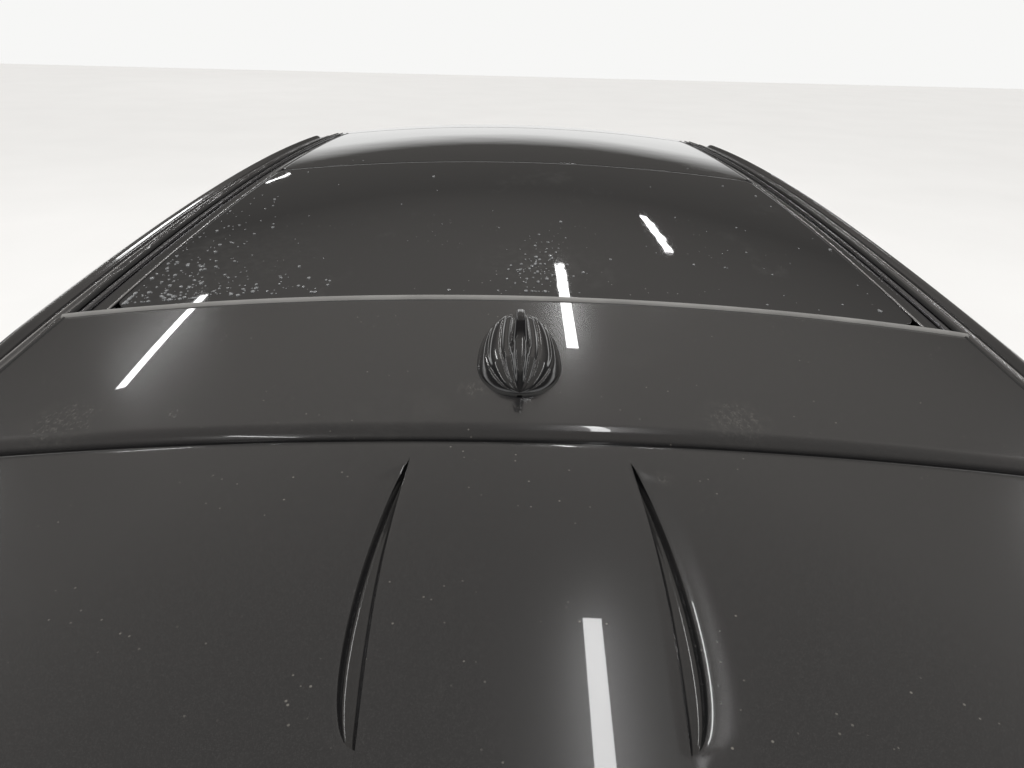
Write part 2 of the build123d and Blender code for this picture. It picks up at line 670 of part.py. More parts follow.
def upright(y, steered):
    top = tyre_radius + ball_joint_rise if steered else tyre_radius + 120
    post = box(hub_x - 24, hub_x + 24, y - 40, y + 40, tyre_radius - ball_joint_rise, top)
    with BuildPart() as spindle:
        with BuildSketch(Plane.YZ.offset(hub_x)):
            with Locations((y, tyre_radius)):
                Circle(56)
        extrude(amount=wheel_x + disc_face - 0.5 - hub_x)
    back = 1 if y < 0 else -1
    near = y + back * 40
    far = y + back * 196
    caliper = box(wheel_x + disc_face - 26, wheel_x + disc_face + disc_thickness + 24, y + back * 112, far,
                  tyre_radius - 78, tyre_radius + 78)
    slot = wheel_drum(y, disc_radius + 6, wheel_x + disc_face - 3, wheel_x + disc_face + disc_thickness + 3)
    bracket = box(hub_x - 18, wheel_x + disc_face - 4, near - back * 4, y + back * 130, tyre_radius - 34,
                  tyre_radius + 34)
    return (post + spindle.part + bracket + caliper) - slot


left_knuckle = upright(front_axle_y, True)
write(left_knuckle, "knuckle_left")
write(mirror(left_knuckle, about=Plane.YZ), "knuckle_right")


def arm(y, inner_x, inner_half, outer_x, outer_half, z0, z1):
    """Wishbone: two legs that close on one ball joint."""
    with BuildPart() as wishbone:
        with BuildSketch(Plane.XY.offset(z0)):
            with BuildLine():
                Polyline((inner_x, y - inner_half), (outer_x, y - outer_half), (outer_x, y + outer_half),
                         (inner_x, y + inner_half), close=True)
            make_face()
            with BuildLine():
                Polyline((inner_x - 5, y - inner_half + 42), (outer_x - 130, y - 14), (outer_x - 130, y + 14),
                         (inner_x - 5, y + inner_half - 42), close=True)
            make_face(mode=Mode.SUBTRACT)
        extrude(amount=z1 - z0)
    return wishbone.part


low_joint = tyre_radius - ball_joint_rise
high_joint = tyre_radius + ball_joint_rise
front_arms = arm(front_axle_y, 330, 150, hub_x + 26, 25, low_joint - 22.5, low_joint - 0.5)
front_arms += arm(front_axle_y, well_inner, 105, hub_x + 26, 25, high_joint + 0.5, high_joint + 20)
with BuildPart() as spring:
    with BuildSketch(Plane.XY.offset(low_joint - 10)):
        with Locations((spring_x, front_axle_y)):
            Circle(26)
    extrude(amount=tyre_radius + arch_radius + arch_lip - 1.2 - low_joint + 10)
    with BuildSketch(Plane.XY.offset(low_joint + 180)):
        with Locations((spring_x, front_axle_y)):
            Circle(46)
    extrude(amount=300)
wishbone_gap = box(spring_x - 48, spring_x + 48, front_axle_y - 48, front_axle_y + 48, high_joint - 5, high_joint + 25)
front_side = (front_arms - wishbone_gap) + spring.part
subframe = box(-340, 340, front_axle_y - 170, front_axle_y - 110, low_joint - 5, low_joint + 55)
subframe += box(-340, 340, front_axle_y + 110, front_axle_y + 170, low_joint - 5, low_joint + 55)
subframe += box(300, 340, front_axle_y - 170, front_axle_y + 600, low_joint - 22, low_joint + 55)
subframe += box(-340, -300, front_axle_y - 170, front_axle_y + 600, low_joint - 22, low_joint + 55)
subframe += box(300, 420, front_axle_y + 440, front_axle_y + 600, low_joint + 10, 300)
subframe += box(-420, -300, front_axle_y + 440, front_axle_y + 600, low_joint + 10, 300)
front_suspension = both_sides(front_side) + subframe
rear_side = arm(rear_axle_y, 330, 150, hub_x + 20, 30, low_joint - 20, low_joint + 2)
rear_side += arm(rear_axle_y, 330, 110, hub_x + 20, 30, tyre_radius + 100, tyre_radius + 120)
rear_side += upright(rear_axle_y, False)
with BuildPart() as rear_spring:
    with BuildSketch(Plane.XY.offset(low_joint - 2)):
        with Locations((520, rear_axle_y)):
            Circle(52)
    extrude(amount=592 - low_joint + 2)
rear_side += rear_spring.part
cross = box(-340, 340, rear_axle_y - 170, rear_axle_y - 110, tyre_radius + 50, tyre_radius + 130)
cross += box(-340, 340, rear_axle_y + 110, rear_axle_y + 170, tyre_radius + 50, tyre_radius + 130)
cross += box(290, 340, rear_axle_y - 170, rear_axle_y + 170, low_joint - 20, tyre_radius + 130)
cross += box(-340, -290, rear_axle_y - 170, rear_axle_y + 170, low_joint - 20, tyre_radius + 130)
rear_suspension = both_sides(rear_side) + cross
suspension = front_suspension + rear_suspension
write(suspension, "suspension")

# Engine, tank and exhaust
engine = box(-290, 290, -2130, -1420, 330, 860)
engine += both_sides(box(280, 380, -1900, -1840, 450, 510))
write(engine, "engine_block")
tank = box(-560, 180, 610, 1015, 215, 451.7)
write(tank, "fuel_tank")
with BuildPart() as exhaust:
    with BuildSketch(Plane.XZ.offset(1100)):
        with Locations((0, exhaust_z)):
            Circle(pipe_radius)
    extrude(amount=-1640)
    with BuildSketch(Plane.XZ.offset(-530)):
        with Locations((0, exhaust_z)):
            Circle(pipe_radius)
    extrude(amount=-25)
pipe = exhaust.part + box(230, 290, 545, 1900, 262, 322) + box(-30, 290, 545, 595, 262, 385)
pipe += box(-400, 400, 1880, 2120, 318, 430)
pipe += both_sides(box(430, 560, 2150, tail_y - 60, 330, 390) + box(340, 560, 2060, 2160, 330, 390))
pipe += both_sides(box(180, 200, 1990, 2010, 420, 592))
pipe += box(-8, 8, -600, -580, exhaust_z, 412)
write(pipe, "exhaust")

# Cabin
dash = box(-1000, 1000, -1138, -820, 700, 980) & cabin
dash += box(-110, 110, -1000, 80, 431, 640)
dash = dash - box(-1000, 1000, -900, -800, 600, 760)
wheel_plane = Plane(origin=(-driver_x, -668, 880), x_dir=(1, 0, 0), z_dir=(0, cos(radians(22)), sin(radians(22))))
with BuildPart() as column:
    with BuildSketch(wheel_plane.offset(-12.5)):
        Circle(28)
    extrude(amount=-230)
dash += column.part
write(dash, "dashboard")
with BuildPart() as hand_wheel:
    with BuildSketch(Plane(origin=wheel_plane.origin, x_dir=wheel_plane.x_dir, z_dir=wheel_plane.y_dir)):
        with Locations((185, 0)):
            RegularPolygon(radius=16, side_count=8)
    revolve(axis=Axis(wheel_plane.origin, wheel_plane.z_dir))
    with BuildSketch(wheel_plane.offset(-12)):
        Circle(62)
        Rectangle(372, 34)
        with Locations((0, -95)):
            Rectangle(34, 180)
        Circle(188, mode=Mode.INTERSECT)
    extrude(amount=24)
write(hand_wheel.part, "steering_wheel")


def seat(x, y, half, back_half):
    cushion = box(x - half, x + half, y - 520, y, 455, 600)
    base = box(x - half + 40, x + half - 40, y - 430, y - 60, 318.3, 455)
    with BuildPart() as rest:
        with BuildSketch(Plane.YZ.offset(x - back_half)):
            with BuildLine():
                Polyline((y - 40, 560), (y + 60, 560), (y + 250, 1130), (y + 150, 1150), close=True)
            make_face()
        extrude(amount=2 * back_half)
    head = box(x - 130, x + 130, y + 170, y + 270, 1125, 1300)
    return cushion + base + rest.part + head


front_seats = seat(driver_x, -120, 250, 240) + seat(-driver_x, -120, 250, 240)
write(front_seats, "front_seats")
bench = box(-620, 620, 545, 1020, 470.3, 610)
with BuildPart() as bench_back:
    with BuildSketch(Plane.YZ.offset(-620)):
        with BuildLine():
            Polyline((980, 610.3), (1090, 610.3), (1220, 1150), (1120, 1165), close=True)
        make_face()
    extrude(amount=1240)
bench += bench_back.part
for x in (-420, 0, 420):
    bench += box(x - 125, x + 125, 1125, 1215, 1140, 1290)
bench = bench & cabin
write(bench, "rear_bench")

# Roof rails and antenna
rail_top = crowned(roof_peak_y, roof_height + rail_rise, roof_length_radius, roof_crown_radius, 3400, 0, roof_edge,
                   roof_shoulder + 30)
with BuildPart() as rail_plan:
    with BuildSketch(Plane.XY.offset(1400)):
        with Locations((rail_x, 560)):
            SlotOverall(1760, rail_width, rotation=90)
    extrude(amount=400)
left_rail = (rail_top & rail_plan.part) - outer
left_rail = left_rail.solids().sort_by(SortBy.VOLUME)[-1]
write(both_sides(left_rail), "roof_rails")

fin_base = roof_z(antenna_y)
with BuildPart() as fin:
    with BuildSketch(Plane.XY.offset(fin_base - 20)):
        with Locations((0, antenna_y)):
            Ellipse(antenna_width / 2, antenna_length / 2)
    extrude(amount=34, taper=12)
    with BuildSketch(Plane.YZ.offset(-7)):
        with BuildLine():
            Polyline((antenna_y - 66, fin_base + 6), (antenna_y + 62, fin_base + 6),
                     (antenna_y + 50, fin_base + antenna_height), (antenna_y + 26, fin_base + antenna_height),
                     close=True)
        make_face()
    extrude(amount=14)
antenna = fin.part - outer
antenna = antenna.solids().sort_by(SortBy.VOLUME)[-1]
write(antenna, "roof_antenna")

# Mirrors
with BuildPart() as mirror_head:
    with Locations((1010, -862, 1130)):
        Box(190, 110, 140)
    fillet(mirror_head.edges().filter_by(Axis.Y), radius=34)
    chamfer(mirror_head.edges().group_by(Axis.Y)[0], length=16)
    with Locations((905, -850, 1086)):
        Box(110, 50, 26)
mirror_left = mirror_head.part - outer
mirror_left = mirror_left.solids().sort_by(SortBy.VOLUME)[-1]
write(mirror_left, "door_mirror_left")
write(mirror(mirror_left, about=Plane.YZ), "door_mirror_right")
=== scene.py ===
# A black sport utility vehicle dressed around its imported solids, seen over the tail along the roof
import bpy
import math
import random
from mathutils import Matrix, Vector
from mathutils.bvhtree import BVHTree


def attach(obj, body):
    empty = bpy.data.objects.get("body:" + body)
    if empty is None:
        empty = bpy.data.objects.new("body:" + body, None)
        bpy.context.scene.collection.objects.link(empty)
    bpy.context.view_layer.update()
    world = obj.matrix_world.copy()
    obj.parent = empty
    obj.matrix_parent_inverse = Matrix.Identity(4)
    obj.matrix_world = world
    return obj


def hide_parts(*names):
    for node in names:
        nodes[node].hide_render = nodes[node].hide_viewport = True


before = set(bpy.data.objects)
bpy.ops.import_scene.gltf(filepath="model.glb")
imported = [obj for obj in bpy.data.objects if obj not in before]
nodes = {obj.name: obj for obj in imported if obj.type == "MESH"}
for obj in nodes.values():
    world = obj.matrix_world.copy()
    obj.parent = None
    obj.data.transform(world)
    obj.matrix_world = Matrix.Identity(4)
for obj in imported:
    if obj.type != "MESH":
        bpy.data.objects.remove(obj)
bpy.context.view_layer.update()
sides = {"left": 1, "right": -1}
random.seed(7)

# Camera: behind the tail, just above the roof, looking forwards and down
cameraView = {"place": (0.0148, 2.1342, 1.9579), "pitch": 25.32, "roll": 1.47, "turn": -0.64, "lens": 26.99}


def makeCamera():
    pitch, roll, turn = (math.radians(cameraView[k]) for k in ("pitch", "roll", "turn"))
    look = Vector((math.sin(turn) * math.cos(pitch), -math.cos(turn) * math.cos(pitch), -math.sin(pitch)))
    across = look.cross(Vector((0, 0, 1))).normalized()
    upward = across.cross(look)
    right = across * math.cos(roll) + upward * math.sin(roll)
    top = upward * math.cos(roll) - across * math.sin(roll)
    data = bpy.data.cameras.new("photoCamera")
    data.sensor_width = 36
    data.lens = cameraView["lens"]
    data.clip_start = 0.02
    data.clip_end = 200
    camera = bpy.data.objects.new("photoCamera", data)
    bpy.context.scene.collection.objects.link(camera)
    columns = (right, top, -look, Vector(cameraView["place"]))
    camera.matrix_world = Matrix([[column[row] for column in columns] for row in range(3)] + [[0, 0, 0, 1]])
    bpy.context.scene.camera = camera


makeCamera()
print("camera set")


# Shader writing: an expression on Term values adds its own Math nodes
class Term:
    def __init__(self, paint, socket):
        self.paint = paint
        self.socket = socket

    def maths(self, operation, first, second=None):
        return self.paint.add("ShaderNodeMath", {"operation": operation}, {0: first, 1: second})

    def __add__(self, other):
        return self.maths("ADD", self, other)

    def __sub__(self, other):
        return self.maths("SUBTRACT", self, other)

    def __rsub__(self, other):
        return self.maths("SUBTRACT", other, self)

    def __mul__(self, other):
        return self.maths("MULTIPLY", self, other)

    def wave(self):
        return self.maths("SINE", self)

    def ramp(self, low, high, start=0.0, end=1.0):
        return self.paint.add("ShaderNodeMapRange", {"clamp": True}, {
            "Value": self, "From Min": low, "From Max": high, "To Min": start, "To Max": end})


class Paint:
    def __init__(self, name, color, roughness, **fixed):
        self.material = bpy.data.materials.new(name)
        self.material.use_nodes = True
        self.tree = self.material.node_tree
        self.tree.nodes.clear()
        output = self.tree.nodes.new("ShaderNodeOutputMaterial")
        self.shader = self.tree.nodes.new("ShaderNodeBsdfPrincipled")
        self.tree.links.new(self.shader.outputs[0], output.inputs[0])
        self.set("Base Color", (*color, 1))
        self.set("Roughness", roughness)
        for socket, value in fixed.items():
            self.set(socket.replace("_", " "), value)
        self.spot = self.add("ShaderNodeTexCoord", {}, {}, "Object")

    def add(self, kind, settings, sockets, output=0):
        node = self.tree.nodes.new(kind)
        for key, value in settings.items():
            setattr(node, key, value)
        for key, value in sockets.items():
            if isinstance(value, Term):
                self.tree.links.new(value.socket, node.inputs[key])
            elif value is not None:
                node.inputs[key].default_value = value
        return Term(self, node.outputs[output])

    def set(self, socket, value):
        if isinstance(value, Term):
            self.tree.links.new(value.socket, self.shader.inputs[socket])
        else:
            self.shader.inputs[socket].default_value = value

    def noise(self, scale, detail=3.0, rough=0.5, stretch=(1, 1, 1)):
        spot = self.add("ShaderNodeMapping", {}, {"Vector": self.spot, "Scale": stretch})
        return self.add("ShaderNodeTexNoise", {}, {"Vector": spot, "Scale": scale, "Detail": detail,
                                                   "Roughness": rough})

    def cells(self, scale, output="Distance", stretch=(1, 1, 1)):
        spot = self.add("ShaderNodeMapping", {}, {"Vector": self.spot, "Scale": stretch})
        return self.add("ShaderNodeTexVoronoi", {}, {"Vector": spot, "Scale": scale}, output)

    def axis(self, number):
        return self.add("ShaderNodeSeparateXYZ", {}, {0: self.spot}, number)

    def near(self, place, reach):
        away = self.add("ShaderNodeVectorMath", {"operation": "DISTANCE"}, {0: self.spot, 1: place}, "Value")
        return away.ramp(reach, reach * 0.35)

    def mix(self, amount, first, second):
        shades = [shade if isinstance(shade, Term) else (*shade, 1) for shade in (first, second)]
        return self.add("ShaderNodeMix", {"data_type": "RGBA"}, {0: amount, 6: shades[0], 7: shades[1]}, 2)

    def bump(self, height, distance, strength=1.0, under=None):
        return self.add("ShaderNodeBump", {}, {"Height": height, "Distance": distance, "Strength": strength,
                                               "Normal": under})


dustColor = {"onPaint": (0.36, 0.34, 0.30), "onGlass": (0.55, 0.55, 0.53), "onPlastic": (0.30, 0.28, 0.25),
             "onWindow": (0.45, 0.43, 0.40), "onMetal": (0.06, 0.05, 0.045), "onRubber": (0.12, 0.11, 0.10)}


def dustOf(paint, amount):
    specks = (0.10 - paint.cells(95)).ramp(0.0, 0.05) * paint.noise(11).ramp(0.50, 0.62)
    smears = paint.noise(7, 6, 0.75, (1, 0.5, 1)).ramp(0.60, 0.80)
    return specks * amount, smears * amount


scuffMarks = (((0.420, 1.505, 1.614), 0.050), ((-0.200, 1.505, 1.630), 0.040), ((0.318, 1.505, 1.623), 0.012),
              ((-0.118, 1.600, 1.62), 0.012), ((0.045, 1.470, 1.64), 0.02))


def glossFinish(name, color, fleck, dust, roughness=0.2):
    paint = Paint(name, color, roughness, Coat_Weight=1.0, Coat_Roughness=0.015)
    flakes = paint.add("ShaderNodeSeparateColor", {}, {0: paint.cells(2600, "Color")}, 0)
    sparkle = flakes.ramp(0.72, 1.0) * fleck
    specks, smears = dustOf(paint, dust)
    body = paint.mix(sparkle, color, (0.16, 0.155, 0.15))
    scuffs = sum((paint.near(place, reach) for place, reach in scuffMarks[1:]), paint.near(*scuffMarks[0]))
    scuffs = scuffs * paint.noise(260, 6, 0.8, (1, 0.5, 1)).ramp(0.48, 0.70) * dust
    marked = specks * 0.55 + smears * 0.05 + scuffs * 0.22
    paint.set("Base Color", paint.mix(marked, body, dustColor["onPaint"]))
    paint.set("Roughness", smears * 0.2 + scuffs * 0.3 + roughness)
    paint.set("Normal", paint.bump(paint.noise(80, 2), 0.00003, 0.6))
    return paint.material


def roofGlassFinish():
    tint = (0.006, 0.006, 0.007)
    pane = Paint("tintedRoofGlass", tint, 0.03, Coat_Weight=0.6, Coat_Roughness=0.01)
    specks, smears = dustOf(pane, 0.8)
    wet = pane.near((0.43, 1.10, 1.62), 0.20) + pane.near((-0.035, 1.14, 1.65), 0.12)
    # Painted sheen: the glass is drawn paler over the wet patches, standing in for light caught by the water
    # on it
    paintedWetSheen = (wet * pane.noise(90, 6, 0.8).ramp(0.45, 0.70)) * 0.035
    marked = specks * 0.5 + smears * 0.06 + paintedWetSheen
    pane.set("Base Color", pane.mix(marked, tint, dustColor["onGlass"]))
    pane.set("Roughness", smears * 0.12 + paintedWetSheen + 0.03)
    pane.set("Normal", pane.bump(pane.noise(9, 2), 0.0006, 0.5))
    return pane.material


def waterFinish():
    # The beads' pale grey colour is painted sheen: clear water drawn with the pale look of light on its drops
    water = Paint("waterDrops", (0.42, 0.43, 0.44), 0.06, Coat_Weight=1.0, Coat_Roughness=0.02)
    water.set("Alpha", water.noise(700).ramp(0.3, 0.7, 0.35, 0.75))
    return water.material


def mouldedFinish(name, color, roughness, grain=500, depth=0.00012, dust=0.3):
    plastic = Paint(name, color, roughness)
    specks, smears = dustOf(plastic, dust)
    mottled = plastic.mix(plastic.noise(14, 4).ramp(0.35, 0.7), color, [c * 1.35 for c in color])
    plastic.set("Base Color", plastic.mix(smears * 0.25 + specks * 0.3, mottled, dustColor["onPlastic"]))
    plastic.set("Roughness", plastic.noise(9).ramp(0.3, 0.7, roughness - 0.06, roughness + 0.08))
    plastic.set("Normal", plastic.bump(plastic.cells(grain), depth, 0.7))
    return plastic.material


def metalFinish(name, color, roughness, brushed=(1, 1, 1), dirt=0.2):
    metal = Paint(name, color, roughness, Metallic=1.0)
    grime = metal.noise(16, 5, 0.7).ramp(0.5, 0.78) * dirt
    metal.set("Base Color", metal.mix(grime, color, dustColor["onMetal"]))
    worn = grime * 0.4
    grain = metal.noise(120, 3, 0.6, brushed).ramp(0.3, 0.7, roughness - 0.04, roughness + 0.08)
    metal.set("Roughness", worn + grain)
    metal.set("Normal", metal.bump(metal.noise(260, 3, 0.6, brushed), 0.00005, 0.5))
    return metal.material


def windowFinish(name, color, alpha):
    pane = Paint(name, color, 0.02, Coat_Weight=1.0, Coat_Roughness=0.01)
    specks, smears = dustOf(pane, 0.5)
    pane.set("Alpha", smears * 0.05 + alpha)
    pane.set("Base Color", pane.mix(specks * 0.2 + smears * 0.06, color, dustColor["onWindow"]))
    return pane.material


def leatherFinish(name, color):
    hide = Paint(name, color, 0.45)
    creases = hide.cells(330)
    hide.set("Base Color", hide.mix(hide.noise(10, 4).ramp(0.4, 0.7), color, [c * 1.5 for c in color]))
    hide.set("Roughness", hide.noise(22).ramp(0.3, 0.7, 0.38, 0.55))
    hide.set("Normal", hide.bump(creases, 0.0004, 0.6, hide.bump(hide.noise(18, 4), 0.003, 0.4)))
    return hide.material


def treadFinish():
    black = (0.022, 0.022, 0.023)
    rubber = Paint("tyreRubber", black, 0.78)
    dusty = rubber.noise(18, 5, 0.7).ramp(0.42, 0.75)
    rubber.set("Base Color", rubber.mix(dusty * 0.35, black, dustColor["onRubber"]))
    rubber.set("Roughness", dusty * 0.12 + 0.72)
    rubber.set("Normal", rubber.bump(rubber.noise(300, 3), 0.0002, 0.6))
    return rubber.material


def lampFinish(name, color, roughness=0.08):
    lens = Paint(name, color, roughness, Coat_Weight=1.0, Coat_Roughness=0.02)
    ribs = (lens.axis(0) * 900).wave() * 0.5 + 0.5
    lens.set("Normal", lens.bump(ribs, 0.0004, 0.4))
    paler = [min(1, c * 1.3 + 0.01) for c in color]
    lens.set("Base Color", lens.mix(lens.noise(30).ramp(0.3, 0.7), color, paler))
    return lens.material


blackPaint = glossFinish("blackPaint", (0.0060, 0.0060, 0.0070), 0.12, 0.6)
pianoBlack = glossFinish("pianoBlack", (0.005, 0.005, 0.006), 0.0, 0.5, 0.12)
roofGlassDark = roofGlassFinish()
mouldedBlack = mouldedFinish("mouldedBlack", (0.022, 0.022, 0.023), 0.52)
underbodyBlack = mouldedFinish("underbodyCoat", (0.03, 0.03, 0.032), 0.8, 160, 0.0006, 0.9)
softBlack = mouldedFinish("softDash", (0.018, 0.018, 0.019), 0.6, 700, 0.0002, 0.2)
liningGrey = mouldedFinish("roofLining", (0.30, 0.29, 0.27), 0.9, 900, 0.0002, 0.0)
sealRubber = mouldedFinish("sealRubber", (0.012, 0.012, 0.012), 0.6, 800, 0.00005, 0.3)
greySeal = mouldedFinish("greyGlassSeal", (0.20, 0.197, 0.19), 0.42, 900, 0.00005, 0.5)
brightTrim = metalFinish("brightTrim", (0.62, 0.62, 0.63), 0.16, (1, 0.05, 1), 0.1)
darkChrome = metalFinish("darkChrome", (0.20, 0.20, 0.21), 0.18, (0.05, 1, 1), 0.1)
alloyGrey = metalFinish("alloyGrey", (0.34, 0.345, 0.36), 0.26, (1, 1, 1), 0.25)
castMetal = metalFinish("castMetal", (0.16, 0.155, 0.15), 0.55, (1, 1, 1), 0.6)
exhaustSteel = metalFinish("exhaustSteel", (0.38, 0.35, 0.31), 0.35, (1, 0.1, 1), 0.5)
windowDark = windowFinish("privacyGlass", (0.008, 0.008, 0.009), 0.86)
windowClear = windowFinish("clearGlass", (0.012, 0.014, 0.014), 0.42)
blackLeather = leatherFinish("blackLeather", (0.022, 0.021, 0.020))
tyreRubber = treadFinish()
waterDrop = waterFinish()
lampInner = lampFinish("lampInner", (0.03, 0.03, 0.032), 0.2)
lampRed = lampFinish("lampRed", (0.20, 0.006, 0.006))
lampAmber = lampFinish("lampAmber", (0.5, 0.14, 0.01))
lampWhite = lampFinish("lampWhite", (0.75, 0.77, 0.80))
mirrorGlass = metalFinish("mirrorGlass", (0.75, 0.76, 0.78), 0.03, (1, 1, 1), 0.0)
plateBlank = mouldedFinish("plateBlank", (0.62, 0.62, 0.58), 0.45, 900, 0.00003, 0.6)

nodeFinish = {
    blackPaint: ("side_frames", "front_fenders", "roof_panel", "front_bumper", "rear_bumper", "bonnet",
                 "tailgate", "rear_spoiler", "front_door_left", "front_door_right", "rear_door_left",
                 "rear_door_right"),
    pianoBlack: ("roof_rails", "roof_antenna", "door_mirror_left", "door_mirror_right"),
    roofGlassDark: ("roof_glass",),
    mouldedBlack: ("arch_cladding",),
    underbodyBlack: ("floor_pan", "fuel_tank"),
    windowDark: ("quarter_glasses", "rear_glass", "rear_door_glass_left", "rear_door_glass_right"),
    windowClear: ("windscreen", "front_door_glass_left", "front_door_glass_right"),
    castMetal: ("suspension", "engine_block", "knuckle_left", "knuckle_right"),
    exhaustSteel: ("exhaust",),
    softBlack: ("dashboard", "steering_wheel"),
    blackLeather: ("front_seats", "rear_bench"),
    lampInner: ("lamps",),
    alloyGrey: tuple(f"rim_{end}_{side}" for end in ("front", "rear") for side in sides),
    tyreRubber: tuple(f"tyre_{end}_{side}" for end in ("front", "rear") for side in sides)}
for finish, names in nodeFinish.items():
    for name in names:
        nodes[name].data.materials.clear()
        nodes[name].data.materials.append(finish)
print("finishes made")


# Modelling helpers: two short sums, then one or two operators on the selected piece
def around(share, radius):
    angle = 2 * math.pi * share
    return radius * math.cos(angle), radius * math.sin(angle)


def squared(value, power):
    return math.copysign(abs(value) ** power, value)


def hold(piece=None):
    if bpy.context.mode != "OBJECT":
        bpy.ops.object.mode_set(mode="OBJECT")
    bpy.ops.object.select_all(action="DESELECT")
    if piece:
        piece.select_set(True)
        bpy.context.view_layer.objects.active = piece


def modify(piece, kind, **settings):
    hold(piece)
    modifier = piece.modifiers.new(kind.lower(), kind)
    for key, value in settings.items():
        setattr(modifier, key, value)
    bpy.ops.object.modifier_apply(modifier=modifier.name)


def bevelled(piece, width, angle=40):
    modify(piece, "BEVEL", width=width, segments=2, limit_method="ANGLE", angle_limit=math.radians(angle))


def thickened(piece, thickness):
    modify(piece, "SOLIDIFY", thickness=thickness, offset=-1)


def settle(piece, name, body, finish, smooth=32, stands=()):
    hold(piece)
    bpy.ops.object.transform_apply(location=True, rotation=True, scale=True)
    bpy.ops.object.shade_smooth_by_angle(angle=math.radians(smooth))
    piece.name = name
    piece.data.name = name
    piece.data.materials.clear()
    piece.data.materials.append(finish)
    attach(piece, body)
    if stands:
        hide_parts(*stands)
    return piece


def surface(columns, rows, place, thickness=0.0, bevel=0.0):
    hold()
    bpy.ops.mesh.primitive_grid_add(x_subdivisions=columns, y_subdivisions=rows, size=2)
    piece = bpy.context.object
    for vertex in piece.data.vertices:
        vertex.co = place((vertex.co.x + 1) / 2, (vertex.co.y + 1) / 2)
    if thickness:
        thickened(piece, thickness)
    if bevel:
        bevelled(piece, bevel)
    return piece


def closeUp(piece, capped):
    hold(piece)
    bpy.ops.object.mode_set(mode="EDIT")
    bpy.ops.mesh.select_mode(type="EDGE")
    bpy.ops.mesh.select_all(action="SELECT")
    bpy.ops.mesh.remove_doubles(threshold=0.00001)
    if capped:
        bpy.ops.mesh.select_all(action="SELECT")
        bpy.ops.mesh.fill_holes(sides=0)
    bpy.ops.mesh.select_all(action="SELECT")
    bpy.ops.mesh.normals_make_consistent(inside=False)
    bpy.ops.object.mode_set(mode="OBJECT")


def tube(columns, rows, place, capped=True):
    piece = surface(columns, rows, place)
    closeUp(piece, capped)
    return piece


def block(low, high, bevel=0.004, segments=2):
    hold()
    centre = [(a + b) / 2 for a, b in zip(low, high)]
    size = [abs(b - a) for a, b in zip(low, high)]
    bpy.ops.mesh.primitive_cube_add(size=1, location=centre, scale=size)
    piece = bpy.context.object
    bpy.ops.object.transform_apply(location=True, rotation=True, scale=True)
    modify(piece, "BEVEL", width=bevel, segments=segments, limit_method="NONE")
    return piece


# A round piece from rings of (place along, radius), which put() sets in space
def turned(steps, rings, put, capped=False):
    rows = len(rings) - 1

    def place(u, v):
        along, radius = rings[round(v * rows)]
        return put(along, *around(u, radius))
    return tube(steps, rows, place, capped)


def joined(pieces):
    if len(pieces) == 1:
        return pieces[0]
    hold()
    for piece in pieces:
        piece.select_set(True)
    bpy.context.view_layer.objects.active = pieces[0]
    bpy.ops.object.join()
    return bpy.context.object


def copied(piece, matrix):
    twin = piece.copy()
    twin.data = piece.data.copy()
    bpy.context.scene.collection.objects.link(twin)
    twin.data.transform(matrix)
    if matrix.determinant() < 0:
        twin.data.flip_normals()
    return twin


flipped = Matrix.Scale(-1, 4, (1, 0, 0))


def bothSides(make, name, body, finish, smooth=32, stands=None):
    first = make()
    second = copied(first, flipped)
    for side, piece in (("left", first), ("right", second)):
        settle(piece, f"{name}_{side}", body.format(side), finish, smooth,
               tuple(node.format(side) for node in stands or ()))


def smoothStep(value, low, high):
    share = min(1.0, max(0.0, (value - low) / (high - low)))
    return share * share * (3 - 2 * share)


# The roof's own surface, as the solids have it
roofForm = {"peak": 0.400, "top": 1.690, "along": 11.0, "across": 4.3, "edge": 0.548, "shoulder": 0.076,
            "bend": ((0.72, -0.34), (1.22, -1.0))}
glass = {"half": 0.500, "rear": 1.256, "seam": 0.480, "front": -0.240, "gap": 0.005, "thick": 0.005}
roofStrip = {"half": 0.5475, "front": 1.2575, "rear": 1.5415, "roll": 0.015, "thick": 0.03}
header = {"long": 0.190, "bow": 0.03, "roll": 0.02, "gap": 0.004}
lining = {"half": 0.535, "front": -0.36, "long": 1.85, "below": 0.046}


# An arc through three points takes the roof down past the edge of its crown
def shoulderDrop(past):
    (ax, az), (bx, bz) = ([share * roofForm["shoulder"] for share in point] for point in roofForm["bend"])
    d = 2 * (ax * bz - az * bx)
    cx = (bz * (ax * ax + az * az) - az * (bx * bx + bz * bz)) / d
    cz = (ax * (bx * bx + bz * bz) - bx * (ax * ax + az * az)) / d
    radius = math.hypot(cx, cz)
    return -(cz + math.sqrt(max(radius ** 2 - (past - cx) ** 2, 0)))


def roofHeight(x, y, lift=0.0):
    r = roofForm
    crown = r["across"] - math.sqrt(r["across"] ** 2 - min(abs(x), r["edge"]) ** 2)
    if abs(x) > r["edge"]:
        crown += shoulderDrop(abs(x) - r["edge"])
    radius = r["along"] - crown + lift
    return r["top"] - r["along"] + math.sqrt(radius ** 2 - (y - r["peak"]) ** 2)


def rolled(away, radius):
    if away >= radius:
        return 0.0
    return radius - math.sqrt(max(radius ** 2 - (radius - max(away, 0)) ** 2, 0))


def cornered(share, run, radius):
    return rolled(min(share, 1 - share) * run, radius)


# Draws points together at both ends of a run, or in its middle where ends is under zero
def crowded(share, ends=0.825):
    return share - ends * math.sin(2 * math.pi * share) / (2 * math.pi)


def roofPlate(half, front, rear, radius, lift):
    def place(u, v):
        share = crowded(v)
        x = (2 * crowded(u) - 1) * (half - cornered(share, rear - front, radius))
        y = front + (rear - front) * share
        return (x, y, roofHeight(x, y, lift))
    return place


